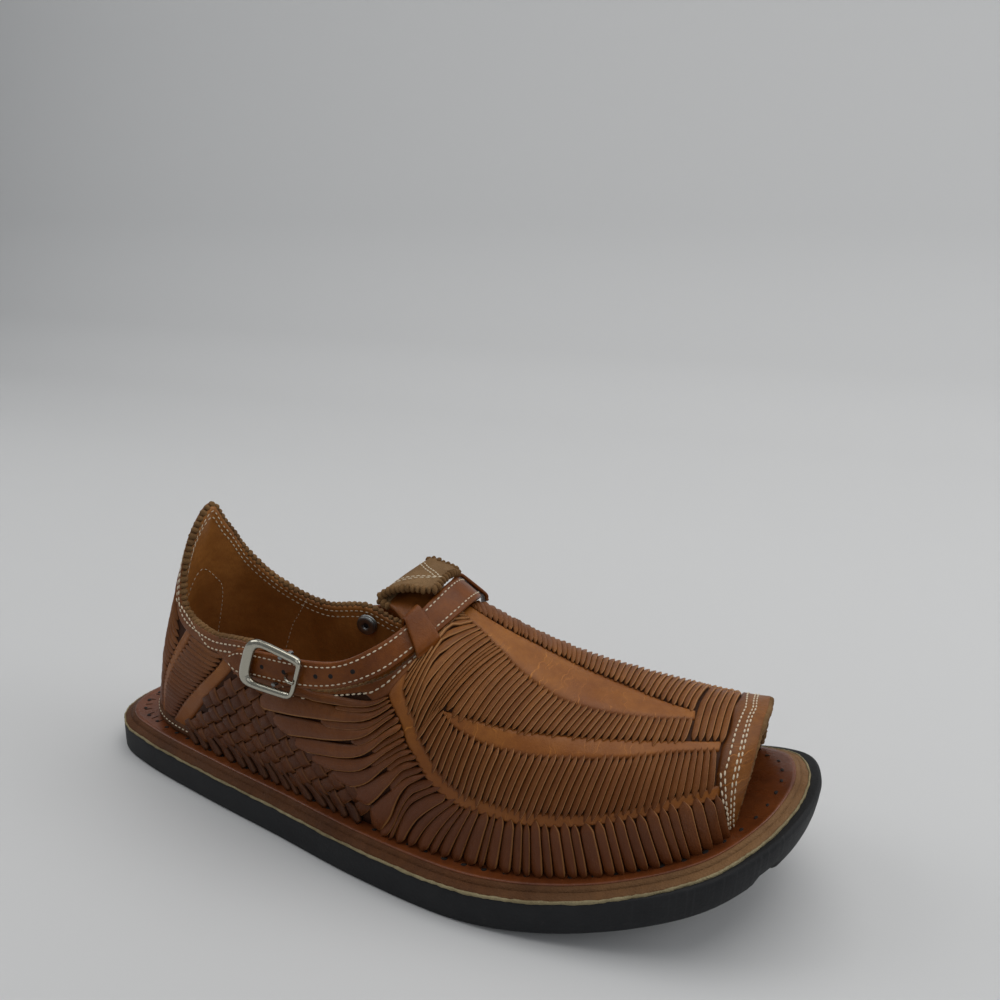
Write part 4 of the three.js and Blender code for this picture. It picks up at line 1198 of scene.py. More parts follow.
def make_insole():
    """The footbed with its cut side, its raised rim, the awl holes round it and the heel's slits."""
    low = INSOLE_Z - GAP
    top = FOOTBED_Z
    # Columns: inset, height
    side = [(3.1, low), (3.0, low + 0.15), (5.0, top - 0.15), (6.5, top - 0.3)]
    face = [(5.2, top - 0.4), (4.9, top - 0.1), (5.2, top + 0.22), (6.4, top + 0.18), (8.0, top)]
    sole_layer("footbed cut edge", [sole_loop(*row) for row in side], cut_leather)
    loops = [sole_loop(*row) for row in face]
    piece = sole_layer("footbed", loops, footbed_leather)
    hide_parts("insole")
    up = np.tile([0.0, 0.0, 1.0], (OUTLINE_COUNT, 1))
    ring = sole_loop(9.3, top + 0.08)
    beads("awl holes", [ring], [up], hole_dark, "awl holes", turn=0.3, uneven=0.25)
    heel = OUTLINE[:, 0] < 26
    order = np.argsort(OUTLINE[heel, 1])
    row = sole_loop(10.5, top + 0.05)[heel][order]
    beads("heel slits", [row], [up[:len(row)]], hole_dark, "heel slits", uneven=0.15)


make_outsole()
make_midsole()
make_insole()

# ---------------------------------------------------------------- upper

def make_shell():
    """The wall itself: an outer leather that shows between the strips, near black as painted shade, and the
    lining inside it.
    """
    t = np.linspace(0, LAST, LAST * 8 + 1)[:, None]
    v = np.linspace(0, 1, 31)[None, :]
    t, v = np.broadcast_arrays(t, v)
    outer = wall(t, v)
    normal = wall_normal(t, v)
    split = outer - normal * (WALL - LINING)
    inner = outer - normal * WALL
    floor = spring(inner[:, 0, 0]) + FOOTBED_Z + GAP * 0.4
    split[:, 0, 2] = floor
    inner[:, 0, 2] = floor
    outer[:, 0, 2] = floor
    shell = sheet_piece("upper shell", outer, split, under_leather_painted_shade)
    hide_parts("upper")
    sheet_piece("lining", split, inner, lining_leather)


def band(name, table, medial, rise, material=band_leather, steps=9):
    """A smooth raised band between two edges of a table."""
    columns = 9
    rows = numbers(table)
    places = np.linspace(0, len(rows) - 1, (len(rows) - 1) * steps + 1)
    edges = smooth(rows, places)
    across = np.linspace(-1, 1, columns)
    share = (across + 1) / 2
    t = edges[:, 0:1] + (edges[:, 2:3] - edges[:, 0:1]) * share
    v = edges[:, 1:2] + (edges[:, 3:4] - edges[:, 1:2]) * share
    t, v = side_places(t, v, medial)
    crown = np.maximum(1 - np.abs(across) ** 6, 0) ** 0.5
    front = on_wall(t, v, np.broadcast_to(rise * crown, t.shape))
    back = level_on_wall(t, v, -0.25)
    middle = front[:, columns // 2]
    run = np.concatenate([[0], np.cumsum(np.linalg.norm(np.diff(middle, axis=0), axis=1))])
    runs = np.broadcast_to(run[:, None], t.shape)
    edge = np.broadcast_to(np.abs(across), t.shape)
    return sheet_piece(name, front, back, material, {"run": runs, "edge": edge})


def field_run(rows, places, medial):
    """Distance along a field of pleats at its places, as the mean of its start and end side."""
    ends = smooth(rows, places)
    guides = [wall(*side_places(ends[:, k], ends[:, k + 1], medial)) for k in (0, 2)]
    pace = sum(np.linalg.norm(np.diff(guide, axis=0), axis=1) for guide in guides) / 2
    return np.concatenate([[0], np.cumsum(pace)])


def pleat_line(rows, place, s, medial, level):
    """t and v at shares s of a pleat's way from start to end; level keeps it straight in height."""
    row = smooth(rows, np.asarray(place))
    t = row[0] + (row[2] - row[0]) * s
    v = row[1] + (row[3] - row[1]) * s
    if level:
        first, last = (row[k + 1] * wall_height(row[k]) for k in (0, 2))
        v = np.clip((first + (last - first) * s) / wall_height(t), 0, PLEAT["highest"])
    t, v = side_places(t, v, medial)
    return t, np.maximum(v, 0.0)


def pointed(share, length, tips):
    """Width of a pleat as a share, pointed over the lengths of its two tips."""
    first, last = (min(tip, length * PLEAT["longest tip"]) for tip in tips)
    ogive = np.clip(np.minimum(share * length / first, (1 - share) * length / last), 0, 1)
    return ogive ** PLEAT["tip roundness"]


def lower_at_ends(share, length):
    """Height of a pleat as a share, sloping down to both ends."""
    distance = np.minimum(share, 1 - share) * length
    low = PLEAT["end height"]
    return low + (1 - low) * np.clip(distance / PLEAT["end slope"], 0, 1)


def spread_over_tuck(s, tuck):
    """How much wider a pleat is beside the start of its tucked neighbours."""
    return 1 + PLEAT["spread"] * np.clip((tuck + PLEAT["spread past"] - s) / PLEAT["spread fade"], 0, 1)


def pleat_rails(table, medial, pitch, rise, seed, steps=18, past=(0.9, 0.9),
                tips=(3.0, 3.0), fill=0.97, uneven=0.0, foot=0.0, foot_reach=9.0, count=0, tuck=0.0):
    """Rails of a field of pleats, each with the width its neighbours leave it. Lengths in mm.
    past is how far both ends run on, tips how long both points are, and foot how much higher the
    start is over foot_reach. With tuck, every other pleat starts that far along, and its neighbours
    spread over its place."""
    rows = numbers(table)
    fine = np.linspace(0, len(rows) - 1, 60 * (len(rows) - 1) + 1)
    run = field_run(rows, fine, medial)
    count = count or max(2, int(round(run[-1] / pitch)))
    generator = np.random.default_rng(seed)
    cuts = np.linspace(0, run[-1], count + 1)
    cuts[1:-1] += pitch * uneven * (generator.random(count - 1) - 0.5)
    share = (1 - np.cos(np.linspace(0, np.pi, steps + 1))) / 2
    rails = []
    for k in range(count):
        before, middle, after = np.interp([cuts[k], (cuts[k] + cuts[k + 1]) / 2, cuts[k + 1]], run, fine)
        path = wall(*pleat_line(rows, middle, np.linspace(0, 1, 24), medial, tuck))
        length = np.linalg.norm(np.diff(path, axis=0), axis=1).sum()
        extra = [amount * (0.5 + generator.random()) / length for amount in past]
        tucked = bool(tuck) and k % 2 == 1
        start = tuck * (0.8 + 0.5 * generator.random()) if tucked else -extra[0]
        s = start + (1 + extra[1] - start) * share
        t, v = pleat_line(rows, middle, s, medial, tuck)
        left, right = (wall(*pleat_line(rows, side, s, medial, tuck)) for side in (before, after))
        width = fill * pointed(share, length, tips)
        if tuck and not tucked:
            width = width * spread_over_tuck(s, tuck)
        height = rise * lower_at_ends(share, length)
        height = height * (1 + PLEAT["height chance"] * (generator.random() - 0.5))
        if tucked:
            height = height * PLEAT["tucked height"]
        if foot:
            height = height + foot * np.clip(1 - share * length / foot_reach, 0, 1) ** 1.5
        lift = wall_normal(t, v) * height[:, None]
        rails.append((wall(t, v), (right - left) / 2 * width[:, None], lift, generator.random()))
    return rails


def make_vamp_pleats():
    """Pleats between the bands, wide fingers down to the footbed and the long waist strips."""
    for medial, side in ((False, "lateral"), (True, "medial")):
        rails = pleat_rails(one_side(UPPER_PLEATS, medial), medial, RIB_PITCH, rise=1.5,
                            seed=11 + medial, past=(1.2, 2.0), tips=(2.2, 2.4), fill=1.0)
        rails += pleat_rails(LOWER_PLEATS, medial, RIB_PITCH + 0.1, rise=1.55,
                             seed=21 + medial, past=(1.4, 2.2), tips=(2.3, 2.6), fill=1.0)
        strips("vamp pleats " + side, rails, pleat_leather, "vamp pleat")
        fingers = pleat_rails(FINGERS, medial, FINGER_PITCH, rise=1.45, seed=31 + medial, steps=22,
                              uneven=0.45, foot=2.4, past=(0.3, 2.0), tips=(0.9, 2.8), fill=1.0)
        fingers += pleat_rails(WAIST_STRIPS, medial, FINGER_PITCH, rise=2.1, seed=37 + medial, steps=26,
                               past=(0.5, 1.6), tips=(3.0, 3.6), fill=1.03, count=15, tuck=0.45)
        strips("side fingers " + side, fingers, finger_leather, "side finger")
    front = pleat_rails(FRONT_PLEATS, False, RIB_PITCH, rise=1.3, seed=41, past=(0.5, 1.2), steps=24)
    strips("front pleats", front, pleat_leather, "vamp pleat")


def make_bands():
    """The smooth bands over the vamp and at the heel."""
    band("centre band", CENTRE_BAND, False, 0.75)
    for medial, side in ((False, "lateral"), (True, "medial")):
        band("mid band " + side, MID_BAND, medial, 0.7)
        band("lower band " + side, LOWER_BAND, medial, 0.75)
        band("heel band front " + side, HEEL_BAND_FRONT, medial, 0.7)
        band("heel band back " + side, HEEL_BAND_BACK, medial, 0.7)


def make_rand():
    """The smooth strip along the heel's foot, with its row of stitches."""
    rise = 1.5
    band("heel rand", HEEL_RAND, False, rise, cut_leather, steps=24)
    rows = smooth(numbers(HEEL_RAND), np.linspace(0.05, len(HEEL_RAND) - 1.05, 200))
    v = 0.62 * rows[:, 3]
    beads("rand stitches", [level_on_wall(rows[:, 0], v, rise + THREAD_RISE)],
          [wall_normal(rows[:, 0], v)], thread, "rand stitches")


def make_heel_pleats():
    """Pleats between the heel bands and round the back of the heel."""
    for medial, side in ((False, "lateral"), (True, "medial")):
        rails = pleat_rails(HEEL_PLEATS, medial, HEEL_PITCH, rise=1.1, seed=51 + medial)
        strips("heel pleats " + side, rails, pleat_leather, "heel pleat")
    rails = pleat_rails(HEEL_BACK_PLEATS, False, HEEL_BACK_PITCH, rise=1.1, seed=61, steps=30)
    strips("heel back pleats", rails, pleat_leather, "heel pleat")


def make_toe_band():
    """The smooth band round the toe opening, from one foot over the ridge to the other."""
    rise = 1.3
    rows = numbers(TOE_BAND)
    v = np.linspace(0.03, 1.97, 141)
    fold = np.where(v > 1, 2 - v, v)
    rear, first, second = (np.interp(fold, rows[:, 0], rows[:, k]) for k in (1, 2, 3))
    share = np.linspace(0, 1, 15)
    t = rear[:, None] * (1 - share)
    all_v = np.broadcast_to(v[:, None], t.shape)
    crown = np.clip(share / 0.07, 0, 1) ** 0.5
    front = on_wall(t, all_v, np.broadcast_to(rise * crown, t.shape))
    back = level_on_wall(t, all_v, -UNDERLAP)
    sheet_piece("toe band", front, back, toe_leather, {
        "run": np.broadcast_to(v[:, None] * 60, t.shape),
        "edge": np.broadcast_to(1 - share, t.shape),
    })
    everywhere = fold > 0
    low = fold < 0.5
    inner = second - 0.1
    outer = rear - 0.05
    paths = []
    ups = []
    for line, keep in ((first, everywhere), (second, everywhere), (inner, everywhere),
                       (outer, low & (v < 1)), (outer, low & (v > 1))):
        paths.append(level_on_wall(line, v, rise + 0.06)[keep])
        ups.append(wall_normal(line, v)[keep])
    beads("toe stitches", paths, ups, thread, "toe stitches")
    generator = np.random.default_rng(81)
    rim = level_on_wall(0, v, -UNDERLAP)
    out = unit(level_on_wall(0, v, 0) - level_on_wall(0.1, v, 0))
    ragged = 0.9 + 0.7 * generator.random(v.shape)
    lift = wall_normal(0 * v, v) * (1.2 + 0.4 * generator.random(v.shape))[:, None]
    rail = (rim, out * ragged[:, None], lift, 0.5)
    strips("rough toe edge", [rail], pinked_leather, "rough edge")


def make_facing():
    """The smooth facing round the collar, its two rows of stitches and its pinked edge."""
    edge = numbers(FACING_EDGE)
    t = np.linspace(edge[0, 0], edge[-1, 0], 331)
    low = np.interp(t, edge[:, 0], edge[:, 1])
    share = np.linspace(0, 1, 15)
    all_t = np.broadcast_to(t[:, None], (len(t), len(share)))
    v = low[:, None] * (1 - share) + share
    crown = np.clip(share / 0.08, 0, 1) ** 0.5
    front = on_wall(all_t, v, np.broadcast_to(crown, all_t.shape))
    back = level_on_wall(all_t, v, -UNDERLAP)
    sheet_piece("collar facing", front, back, facing_leather)
    height = wall_height(t)
    # Columns: row, depth below the edge, t where the outside row starts
    for label, depth, start in (("upper", 2.4, 8.3), ("lower", 5.4, 0.0)):
        row = 1 - depth / height
        keep = (row > low + 0.02) & (t > start)
        up = wall_normal(t, row)
        outer = level_on_wall(t, row, 1.08)[keep]
        inner = level_on_wall(t, row, -WALL - THREAD_RISE)
        beads("collar stitches " + label, [outer], [up[keep]], thread, "collar stitches")
        beads("lining stitches " + label, [inner], [-up], thread, "lining stitches")
    beads("pinked collar edge", [level_on_wall(t, 1.0, -0.6)], [wall_normal(t, 1.0)], pinked_leather,
          "pinked edge", uneven=0.12, segments=10)


def weave_places(x, height, medial):
    """t and v for a place along the wall's foot and up the wall, in millimetres."""
    t = np.linspace(6.0, 11.5, 200)
    foot_x = smooth(SECTIONS, t)[:, 0]
    place = np.interp(-np.asarray(x), -foot_x, t)
    return side_places(place, np.clip(height / wall_height(place), 0, 1), medial)


def heading(angle):
    """Unit vector in x and height at an angle in radians."""
    return np.array([math.cos(angle), math.sin(angle)])


def in_weave(x, height):
    """Whether a place is between the heel band and the waist strips, and clear of foot and collar."""
    back_edge = WEAVE["back x"] + WEAVE["back slope"] * height
    front_edge = WEAVE["front x"] + WEAVE["front slope"] * height
    return back_edge < x < front_edge and WEAVE["lowest"] < height < WEAVE["highest"]


def woven_rail(middle, way, other, half, medial, generator):
    """Rail of one strip of the weave, bowed over its neighbours and down at both ends."""
    s = np.linspace(-1, 1, 9)
    line = middle + way * (s * half)[:, None]
    beside = line + other * WEAVE["width"] * WEAVE["half width"]
    t, v = weave_places(line[:, 0], line[:, 1], medial)
    centre = wall(t, v)
    sideways = wall(*weave_places(beside[:, 0], beside[:, 1], medial)) - centre
    ends = np.abs(s) ** 4
    bow = WEAVE["bow"] + WEAVE["bow chance"] * generator.random()
    lift = wall_normal(t, v) * (WEAVE["end lift"] + bow * (1 - ends))[:, None]
    width = WEAVE["least width"] + WEAVE["width chance"] * generator.random()
    width = width * (1 - WEAVE["end taper"] * ends)
    return centre, sideways * width[:, None], lift, generator.random()


def make_weave():
    """Strips over and under one another in two slanted ways, between the heel band and the waist."""
    down = heading(WEAVE["down"])
    rise = heading(WEAVE["rise"])
    start = np.array([WEAVE["x"], WEAVE["height"]])
    width = WEAVE["width"]
    reach = 30
    for medial, side in ((False, "lateral"), (True, "medial")):
        generator = np.random.default_rng(71 + medial)
        rails = []
        for i in range(-reach, reach + 1):
            for j in range(-reach, reach + 1):
                middle = start + down * i * width * WEAVE["down pitch"]
                middle = middle + rise * j * width * WEAVE["rise pitch"]
                if not in_weave(*middle):
                    continue
                if (i + j) % 2 == 0:
                    way, other, half = down, rise, width * WEAVE["down half"]
                else:
                    way, other, half = rise, down, width * WEAVE["rise half"]
                rails.append(woven_rail(middle, way, other, half, medial, generator))
        strips("basket weave " + side, rails, weave_leather, "woven strip")
        feet = pleat_rails(WEAVE_FEET, medial, WEAVE_FOOT_PITCH, rise=1.7, seed=75 + medial, foot=1.6,
                           foot_reach=6.0, past=(0.2, 0.5), tips=(1.6, 1.4), uneven=0.4, fill=0.82)
        strips("weave feet " + side, feet, feet_leather, "sewn foot")


def make_lining_seams():
    """The heel pocket's seam and the joining seam inside the lining."""
    paths = []
    ups = []
    for table in (POCKET_SEAM, LINING_SEAM):
        rows = numbers(table)
        t, v = smooth(rows, np.linspace(0, len(rows) - 1, 40)).T
        paths.append(level_on_wall(t, v, -WALL - 0.04))
        ups.append(-wall_normal(t, v))
    beads("lining seams", paths, ups, thread, "lining seams")


make_lining_seams()
make_shell()
make_bands()
make_vamp_pleats()
make_heel_pleats()
make_rand()
make_weave()
make_facing()
make_toe_band()

# ---------------------------------------------------------------- strap, keepers and tongue

STRAP = numbers(STRAP_ROWS)
STRAP_END = len(STRAP) - 1


def strap_edges(s):
    """Points of the strap's lower and upper edge."""
    row = smooth(STRAP, np.clip(s, 0, STRAP_END))
    return row[..., :3], row[..., 3:]


def strap_at(s):
    """Lower and upper edge, and the ways up, along and out of the strap."""
    s = np.asarray(s, float)
    step = 0.02
    lower, upper = strap_edges(s)
    up = unit(upper - lower)
    along = unit(sum(strap_edges(s + step)) - sum(strap_edges(s - step)))
    return lower, upper, up, along, unit(np.cross(up, along))


def strap_line(s, share, rise):
    """Points on the strap at a share of the way up it and a height out of its middle."""
    lower, upper, _, _, out = strap_at(s)
    return lower + (upper - lower) * share + out * np.asarray(rise)[..., None]


def make_strap():
    """The strap with its two rows of stitches and its holes."""
    s = np.linspace(0, STRAP_END, STRAP_END * 10 + 1)
    lower, upper, _, _, out = strap_at(s)
    rail = ((lower + upper) / 2, (upper - lower) / 2, out * (STRAP_THICKNESS / 2), 0.3)
    piece = strips("strap leather", [rail], strap_leather, "strap")
    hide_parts("strap")
    paths = []
    ups = []
    seam = np.linspace(0.3, STRAP_END - 0.45, 260)
    to_tip = np.clip(seam - (STRAP_END - 1), 0, 1)
    rise = np.full(seam.shape, STRAP_THICKNESS / 2 + THREAD_RISE)
    for share in (0.16, 0.84):
        side = share + (0.5 - share) * to_tip * 0.3
        paths.append(strap_line(seam, side[:, None], rise))
        ups.append(strap_at(seam)[4])
    beads("strap stitches", paths, ups, thread, "strap stitches")
    holes = np.array(STRAP_HOLES)
    spots = strap_line(holes, 0.5, np.full(holes.shape, STRAP_THICKNESS / 2 - 0.02))
    studs("strap holes", spots, strap_at(holes)[4], STRAP_HOLE_RADIUS, 0.1, hole_dark)


def keeper_rail(row, share):
    """Rail over the strap; share runs along the strap from the keeper's middle."""
    s = np.array([row])
    pitch = np.linalg.norm(strap_line(s + 0.5, 0.5, [0.0]) - strap_line(s - 0.5, 0.5, [0.0]))
    lower, upper, up, _, out = strap_at(s + share * KEEPER_WIDTH / 2 / pitch)
    points = []
    for _, from_upper, past, rise in KEEPER_PATH:
        base = upper[0] if from_upper else lower[0]
        points.append(base + up[0] * (past if from_upper else -past) + out[0] * rise)
    return smooth(np.array(points), np.linspace(0, len(points) - 1, 36))


def make_keepers():
    """The two loops of the tongue that the strap runs through."""
    for label, row in (("lateral", LATERAL_KEEPER_ROW), ("medial", MEDIAL_KEEPER_ROW)):
        left, middle, right = (keeper_rail(row, share) for share in (-1, 0, 1))
        side = (right - left) / 2
        ahead = np.gradient(middle, axis=0)
        lift = unit(np.cross(unit(ahead), unit(side)))
        outwards = strap_at(np.array([row]))[4][0]
        if lift[len(lift) // 2] @ outwards < 0:
            lift = -lift
        strips("strap keeper " + label, [(middle, side, lift * KEEPER_THICKNESS / 2, 0.2)],
               strap_leather, "keeper")


def tongue_grid(steps):
    """The tongue's middle surface, from its seam under the collar to its point, steps to a row."""
    side = np.linspace(-1, 1, 25)
    t = np.where(side <= 0, THROAT - TONGUE_REACH * side, LAST - THROAT - TONGUE_REACH * side)
    edge = wall(t, 1.0)
    below = wall(t, 0.97)
    onward = edge - below
    onward[:, 1] = 0
    onward[:, 0] = -np.abs(edge[:, 0] - below[:, 0]) - 1
    onward = unit(onward)
    start = edge - wall_normal(t, 0.98) * WALL / 2 + onward * TONGUE_SEAM
    rows = numbers(TONGUE_ROWS)
    grid = [start]
    for s in np.linspace(0, len(rows) - 1, (len(rows) - 1) * steps + 1):
        x, z, half, drop, tilt, skew = smooth(rows, s)
        grid.append(np.stack([
            x + skew * side,
            TONGUE_CENTRE_Y + half * side,
            z - drop * side ** 2 + tilt * side,
        ], -1))
    return np.array(grid)


def grid_normals(grid):
    """Unit normals at the points of a grid."""
    along = np.gradient(grid, axis=0)
    across = np.gradient(grid, axis=1)
    return unit(np.cross(along, across))


def on_grid(grid, normal, along, across, rise):
    """Points over a grid, and their ways up, at places along it (rows) and across it (-1 to 1)."""
    along, across = np.broadcast_arrays(np.asarray(along, float), np.asarray(across, float))
    column = (across + 1) / 2 * (grid.shape[1] - 1)
    i = np.clip(np.floor(along).astype(int), 0, grid.shape[0] - 2)
    j = np.clip(np.floor(column).astype(int), 0, grid.shape[1] - 2)
    a, b = (along - i)[..., None], (column - j)[..., None]

    def mixed(field):
        near = field[i, j] * (1 - b) + field[i, j + 1] * b
        far = field[i + 1, j] * (1 - b) + field[i + 1, j + 1] * b
        return near * (1 - a) + far * a

    up = unit(mixed(normal))
    return mixed(grid) + up * rise, up


def make_tongue():
    """The smooth tongue, its napped flap curled back over it, the fringe and the stitches."""
    steps = 8
    grid = tongue_grid(steps)
    normal = grid_normals(grid)
    front = grid + normal * TONGUE_THICKNESS / 2
    back = grid - normal * TONGUE_THICKNESS / 2
    turn = 1 + 3 * steps
    curl = 1 + 5 * steps
    last = len(grid) - 1
    middle = grid.shape[1] // 2
    piece = sheet_piece("tongue leather", front[:turn + 1], back[:turn + 1], facing_leather)
    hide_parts("tongue")
    sheet_piece("tongue flap", front[turn:], back[turn:], suede)
    rim, up = (np.concatenate([field[turn:, 0], field[-1, 1:-1], field[turn:, -1][::-1]])
               for field in (grid, normal))
    beads("tongue fringe", [rim], [up], pinked_leather, "tongue fringe", uneven=0.18,
          segments=8)
    side = -1 if normal[last - steps, middle, 2] < 0 else 1
    # Two rows of stitches in a V on the flap, then two along each side of the tongue.
    rows = []
    for inset in (0, 1):
        for end, place in ((curl, 0.62 - 0.14 * inset), (curl - 1, -0.66 + 0.18 * inset)):
            along = np.linspace(last - 3 - 4 * inset, end, 30)
            rows.append((normal * side, along, np.linspace(-0.35, place, 30)))
    for edge in (0.86, 0.7):
        for arm in (-1, 1):
            rows.append((normal, np.linspace(0.8 * steps, 3.4 * steps, 30), edge * arm))
    rise = TONGUE_THICKNESS / 2 + THREAD_RISE
    paths, ups = zip(*(on_grid(grid, field, along, across, rise) for field, along, across in rows))
    beads("tongue stitches", paths, ups, thread, "tongue stitches")


make_strap()
make_keepers()
make_tongue()

# ---------------------------------------------------------------- buckle and rivets

def dressed(node, name, material, bevel):
    """A copy of a frame piece with its edges rounded and its finish."""
    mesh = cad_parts[node].data.copy()
    mesh.materials.clear()
    mesh.materials.append(material)
    obj = link(name, mesh)
    work = bmesh.new()
    work.from_mesh(mesh)
    bmesh.ops.remove_doubles(work, verts=work.verts, dist=2e-6)
    work.to_mesh(mesh)
    work.free()
    rounding = obj.modifiers.new("rounded edges", "BEVEL")
    rounding.width = bevel * MM
    rounding.segments = 3
    rounding.limit_method = "ANGLE"
    rounding.angle_limit = math.radians(35)
    mesh.shade_smooth()
    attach(obj, "root")
    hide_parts(node)


def buckle_frame_of_reference():
    """The middle of the strap under the buckle, with the ways forward, up and out of it."""
    lower, upper, _, along, out = (part[0] for part in strap_at(np.array([BUCKLE_ROW])))
    turn = math.radians(BUCKLE["turn"])
    forward = -along * math.cos(turn) + np.cross(out, along) * math.sin(turn)
    upward = np.cross(out, forward)
    middle = (lower + upper) / 2 + upward * BUCKLE["above"]
    return middle, forward, upward + forward * BUCKLE["lean"], out


def make_eyelet():
    """The rolled rim and the dark hole of the medial rivet's inner cap."""
    spot = np.array([MEDIAL_RIVET_ROW])
    _, _, _, ahead, out = (part[0] for part in strap_at(spot))
    middle = strap_line(spot, 0.5, np.array([-RIVET_REACH]))[0]
    side = np.cross(out, ahead)
    angle = np.linspace(0, 2 * np.pi, 49)[:, None]
    way = ahead * np.cos(angle) + side * np.sin(angle)
    lift = np.broadcast_to(-out * EYELET["rise"], way.shape)
    rim = (middle + EYELET["radius"] * way, way * EYELET["half width"], lift, 0.0)
    strips("eyelet rim", [rim], steel, "rolled rim")
    studs("eyelet hole", [middle], [-out], EYELET["hole"], 0.3, hole_dark)


def make_buckle():
    """A rounded frame with a broad domed bar over the strap's tip, a pivot behind the strap, and a
    prong from the pivot through the strap's hole to the front bar."""
    middle, forward, upward, out = buckle_frame_of_reference()

    def at(x, y, z):
        x, y, z = np.broadcast_arrays(*(np.asarray(part, float)[..., None] for part in (x, y, z)))
        return middle + forward * x + upward * y + out * z

    def rod(points, half_across, half_deep):
        ones = np.ones((len(points), 1))
        return points, ones * half_across, ones * half_deep, 0.0

    level = STRAP_THICKNESS / 2 + BUCKLE["lift"] + BUCKLE["bar"] / 2
    back_half, front_half, side_half = (BUCKLE[name] / 2 for name in ("back bar", "front bar", "side bar"))
    angle = np.linspace(0, 2 * np.pi, 97)
    cosine, sine = np.cos(angle), np.sin(angle)
    corner_x = np.where(cosine < 0, BUCKLE["back corner"], BUCKLE["front corner x"])
    corner_y = np.where(cosine < 0, BUCKLE["back corner"], BUCKLE["front corner y"])
    x = np.sign(cosine) * np.abs(cosine) ** corner_x
    y = np.sign(sine) * np.abs(sine) ** corner_y
    x = (back_half - front_half) / 2 + x * (BUCKLE["length"] - back_half - front_half) / 2
    y = y * (BUCKLE["height"] / 2 - side_half) * (1 - BUCKLE["taper"] * x / 10)
    back = np.clip((-cosine - 0.3) / 0.5, 0, 1)
    front = np.clip((cosine - 0.5) / 0.4, 0, 1)
    half = side_half + back * (back_half - side_half) + front * (front_half - side_half)
    flow = np.gradient(np.stack([x, y], -1), axis=0)
    flow[0] = flow[-1] = (flow[0] + flow[-1]) / 2
    side = unit(np.stack([flow[:, 1], -flow[:, 0]], -1)) * half[:, None]
    sideways = forward * side[:, :1] + upward * side[:, 1:]
    lift = out * (BUCKLE["bar"] / 2 * (1 + 0.2 * back - 0.15 * front))[:, None]
    ring = (at(x, y, np.full(x.shape, level)), sideways, lift, 0.0)
    piece = strips("nickel buckle", [ring], nickel, "buckle bar")
    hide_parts("buckle_frame")
    reach = BUCKLE["post reach"] * (BUCKLE["height"] / 2 - side_half)
    span = np.linspace(-reach, reach, 12)
    rods = [rod(at(BUCKLE["pivot x"], span, BUCKLE["pivot z"]), forward * BUCKLE["pivot"],
                out * BUCKLE["pivot"])]
    for end in (-reach, reach):
        height = np.linspace(BUCKLE["pivot z"], level - 0.3, 8)
        rods.append(rod(at(BUCKLE["pivot x"], end, height), forward * 0.9, upward * 0.6))
    strips("buckle pivot", rods, steel, "pivot")
    over = level + BUCKLE["bar"] / 2 + BUCKLE["prong"] - 0.1
    # Columns: forward of the buckle's middle, out of the strap's middle
    bends = np.array([
        (BUCKLE["pivot x"], BUCKLE["pivot z"]),
        (BUCKLE["pivot x"] + 1.6, BUCKLE["pivot z"] + 1.0),
        (BUCKLE["pivot x"] + 3.0, 0.0),
        (BUCKLE["pivot x"] + 4.6, level),
        (BUCKLE["length"] / 2 - 2.6, over),
        (BUCKLE["length"] / 2 - 0.4, over - 0.1),
    ])
    path = smooth(bends, np.linspace(0, len(bends) - 1, 40))
    thin = np.linspace(1, 0.75, 40)[:, None]
    centre = at(path[:, 0], BUCKLE["prong y"], path[:, 1])
    outwards = unit(np.cross(np.gradient(centre, axis=0), upward))
    prong = (centre, upward * BUCKLE["prong"] * thin, outwards * BUCKLE["prong"] * thin, 0.0)
    piece = strips("nickel prong", [prong], nickel, "prong")
    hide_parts("buckle_prong")


make_buckle()
dressed("buckle_chape", "chape leather", strap_leather, 0.3)
dressed("rivet_medial", "medial rivet", steel, 0.2)
make_eyelet()
dressed("rivet_lateral", "lateral rivet", nickel, 0.2)

# ---------------------------------------------------------------- studio

SHOE_MIDDLE = Vector((0.1, 0.0, 0.03))


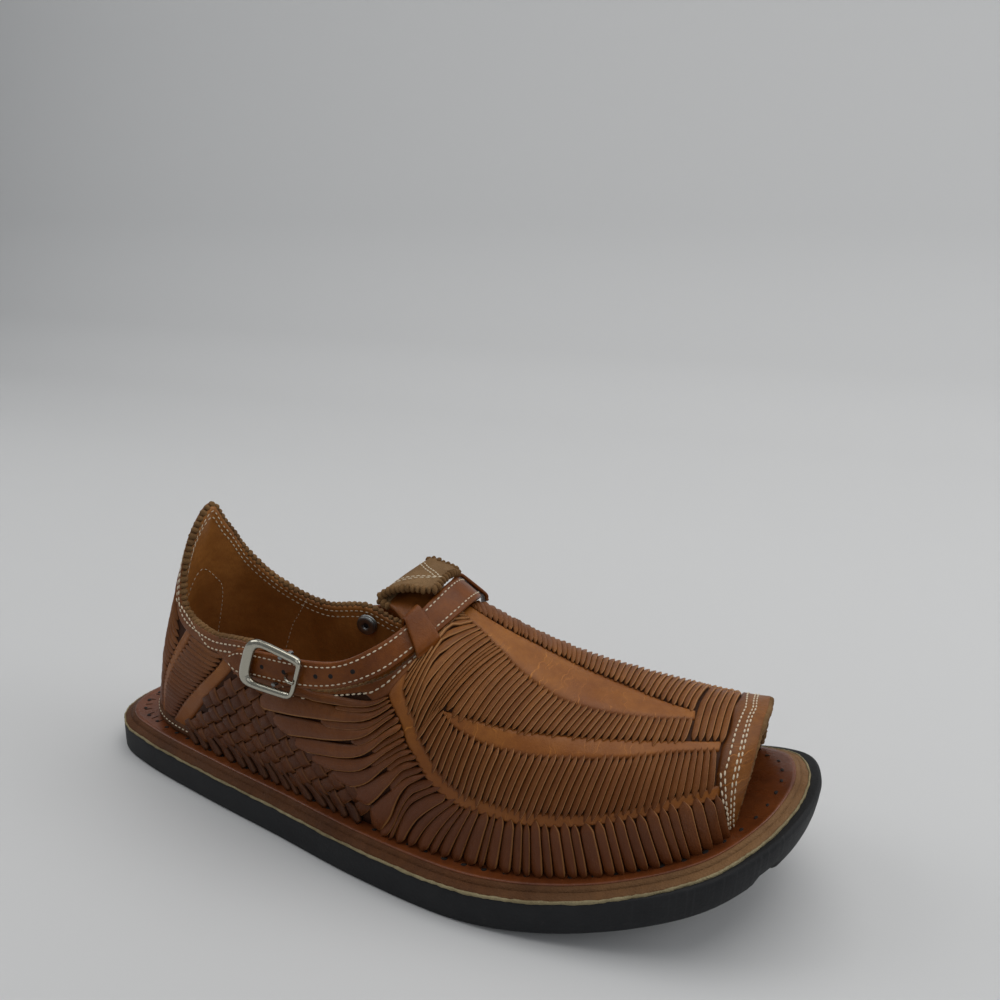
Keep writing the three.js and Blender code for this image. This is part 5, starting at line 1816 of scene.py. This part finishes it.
def make_studio():
    """Pale paper that bends up behind the shoe, four soft lamps and a dim pale room."""
    floor_mesh = bpy.data.meshes.new("floor")
    half_width = 2.56
    # Columns: y, z
    profile = [(-1.4, 0.0), (0.55, 0.0), (0.75, 0.02), (0.9, 0.1), (0.98, 0.28), (1.0, 0.6), (1.0, 2.4)]
    points = [(x, y, z) for y, z in profile for x in (-half_width, half_width)]
    faces = [(2 * k, 2 * k + 1, 2 * k + 3, 2 * k + 2) for k in range(len(profile) - 1)]
    floor_mesh.from_pydata(points, [], faces)
    floor_mesh.shade_smooth()
    floor_mesh.materials.append(plain("pale paper", (0.6, 0.605, 0.61), 0.9))
    floor = link("floor", floor_mesh)
    # Columns: name, place, size, power, colour
    lights = [
        ("ceiling", (0.25, 0.35, 1.5), 1.6, 14.0, (1.0, 0.985, 0.96)),
        ("front fill", (0.5, -1.4, 0.9), 1.2, 2.6, (0.97, 0.98, 1.0)),
        ("right window", (1.4, 0.3, 0.8), 0.8, 5.0, (1.0, 1.0, 1.0)),
        ("left wash", (-1.3, -0.2, 1.2), 1.0, 6.0, (1.0, 1.0, 1.0)),
    ]
    for name, place, size, power, colour in lights:
        data = bpy.data.lights.new(name, "AREA")
        data.size = size
        data.energy = power
        data.color = colour
        lamp = bpy.data.objects.new(name, data)
        lamp.location = place
        lamp.rotation_mode = "QUATERNION"
        lamp.rotation_quaternion = (SHOE_MIDDLE - lamp.location).to_track_quat("-Z", "Y")
        bpy.context.scene.collection.objects.link(lamp)
    world = bpy.data.worlds.new("soft room")
    world.use_nodes = True
    room = world.node_tree.nodes["Background"]
    room.inputs["Color"].default_value = (0.8, 0.83, 0.86, 1.0)
    room.inputs["Strength"].default_value = 0.26
    bpy.context.scene.world = world


def make_camera():
    """The camera stands low beside the toe, looks past the vamp and is tipped a little."""
    place = Vector((0.2462, -0.2791, 0.2165))
    target = Vector((0.1022, 0.0786, 0.1102))
    roll = math.radians(1.64)
    data = bpy.data.cameras.new("camera")
    data.sensor_width = 36.0
    data.lens = 30.585
    data.clip_start = 0.01
    camera = bpy.data.objects.new("camera", data)
    turn = (target - place).to_track_quat("-Z", "Y").to_matrix() @ Matrix.Rotation(roll, 3, "Z")
    camera.matrix_world = Matrix.Translation(place) @ turn.to_4x4()
    bpy.context.scene.collection.objects.link(camera)
    bpy.context.scene.camera = camera


bpy.context.scene.view_settings.view_transform = "Standard"
make_studio()
make_camera()
bpy.context.view_layer.update()
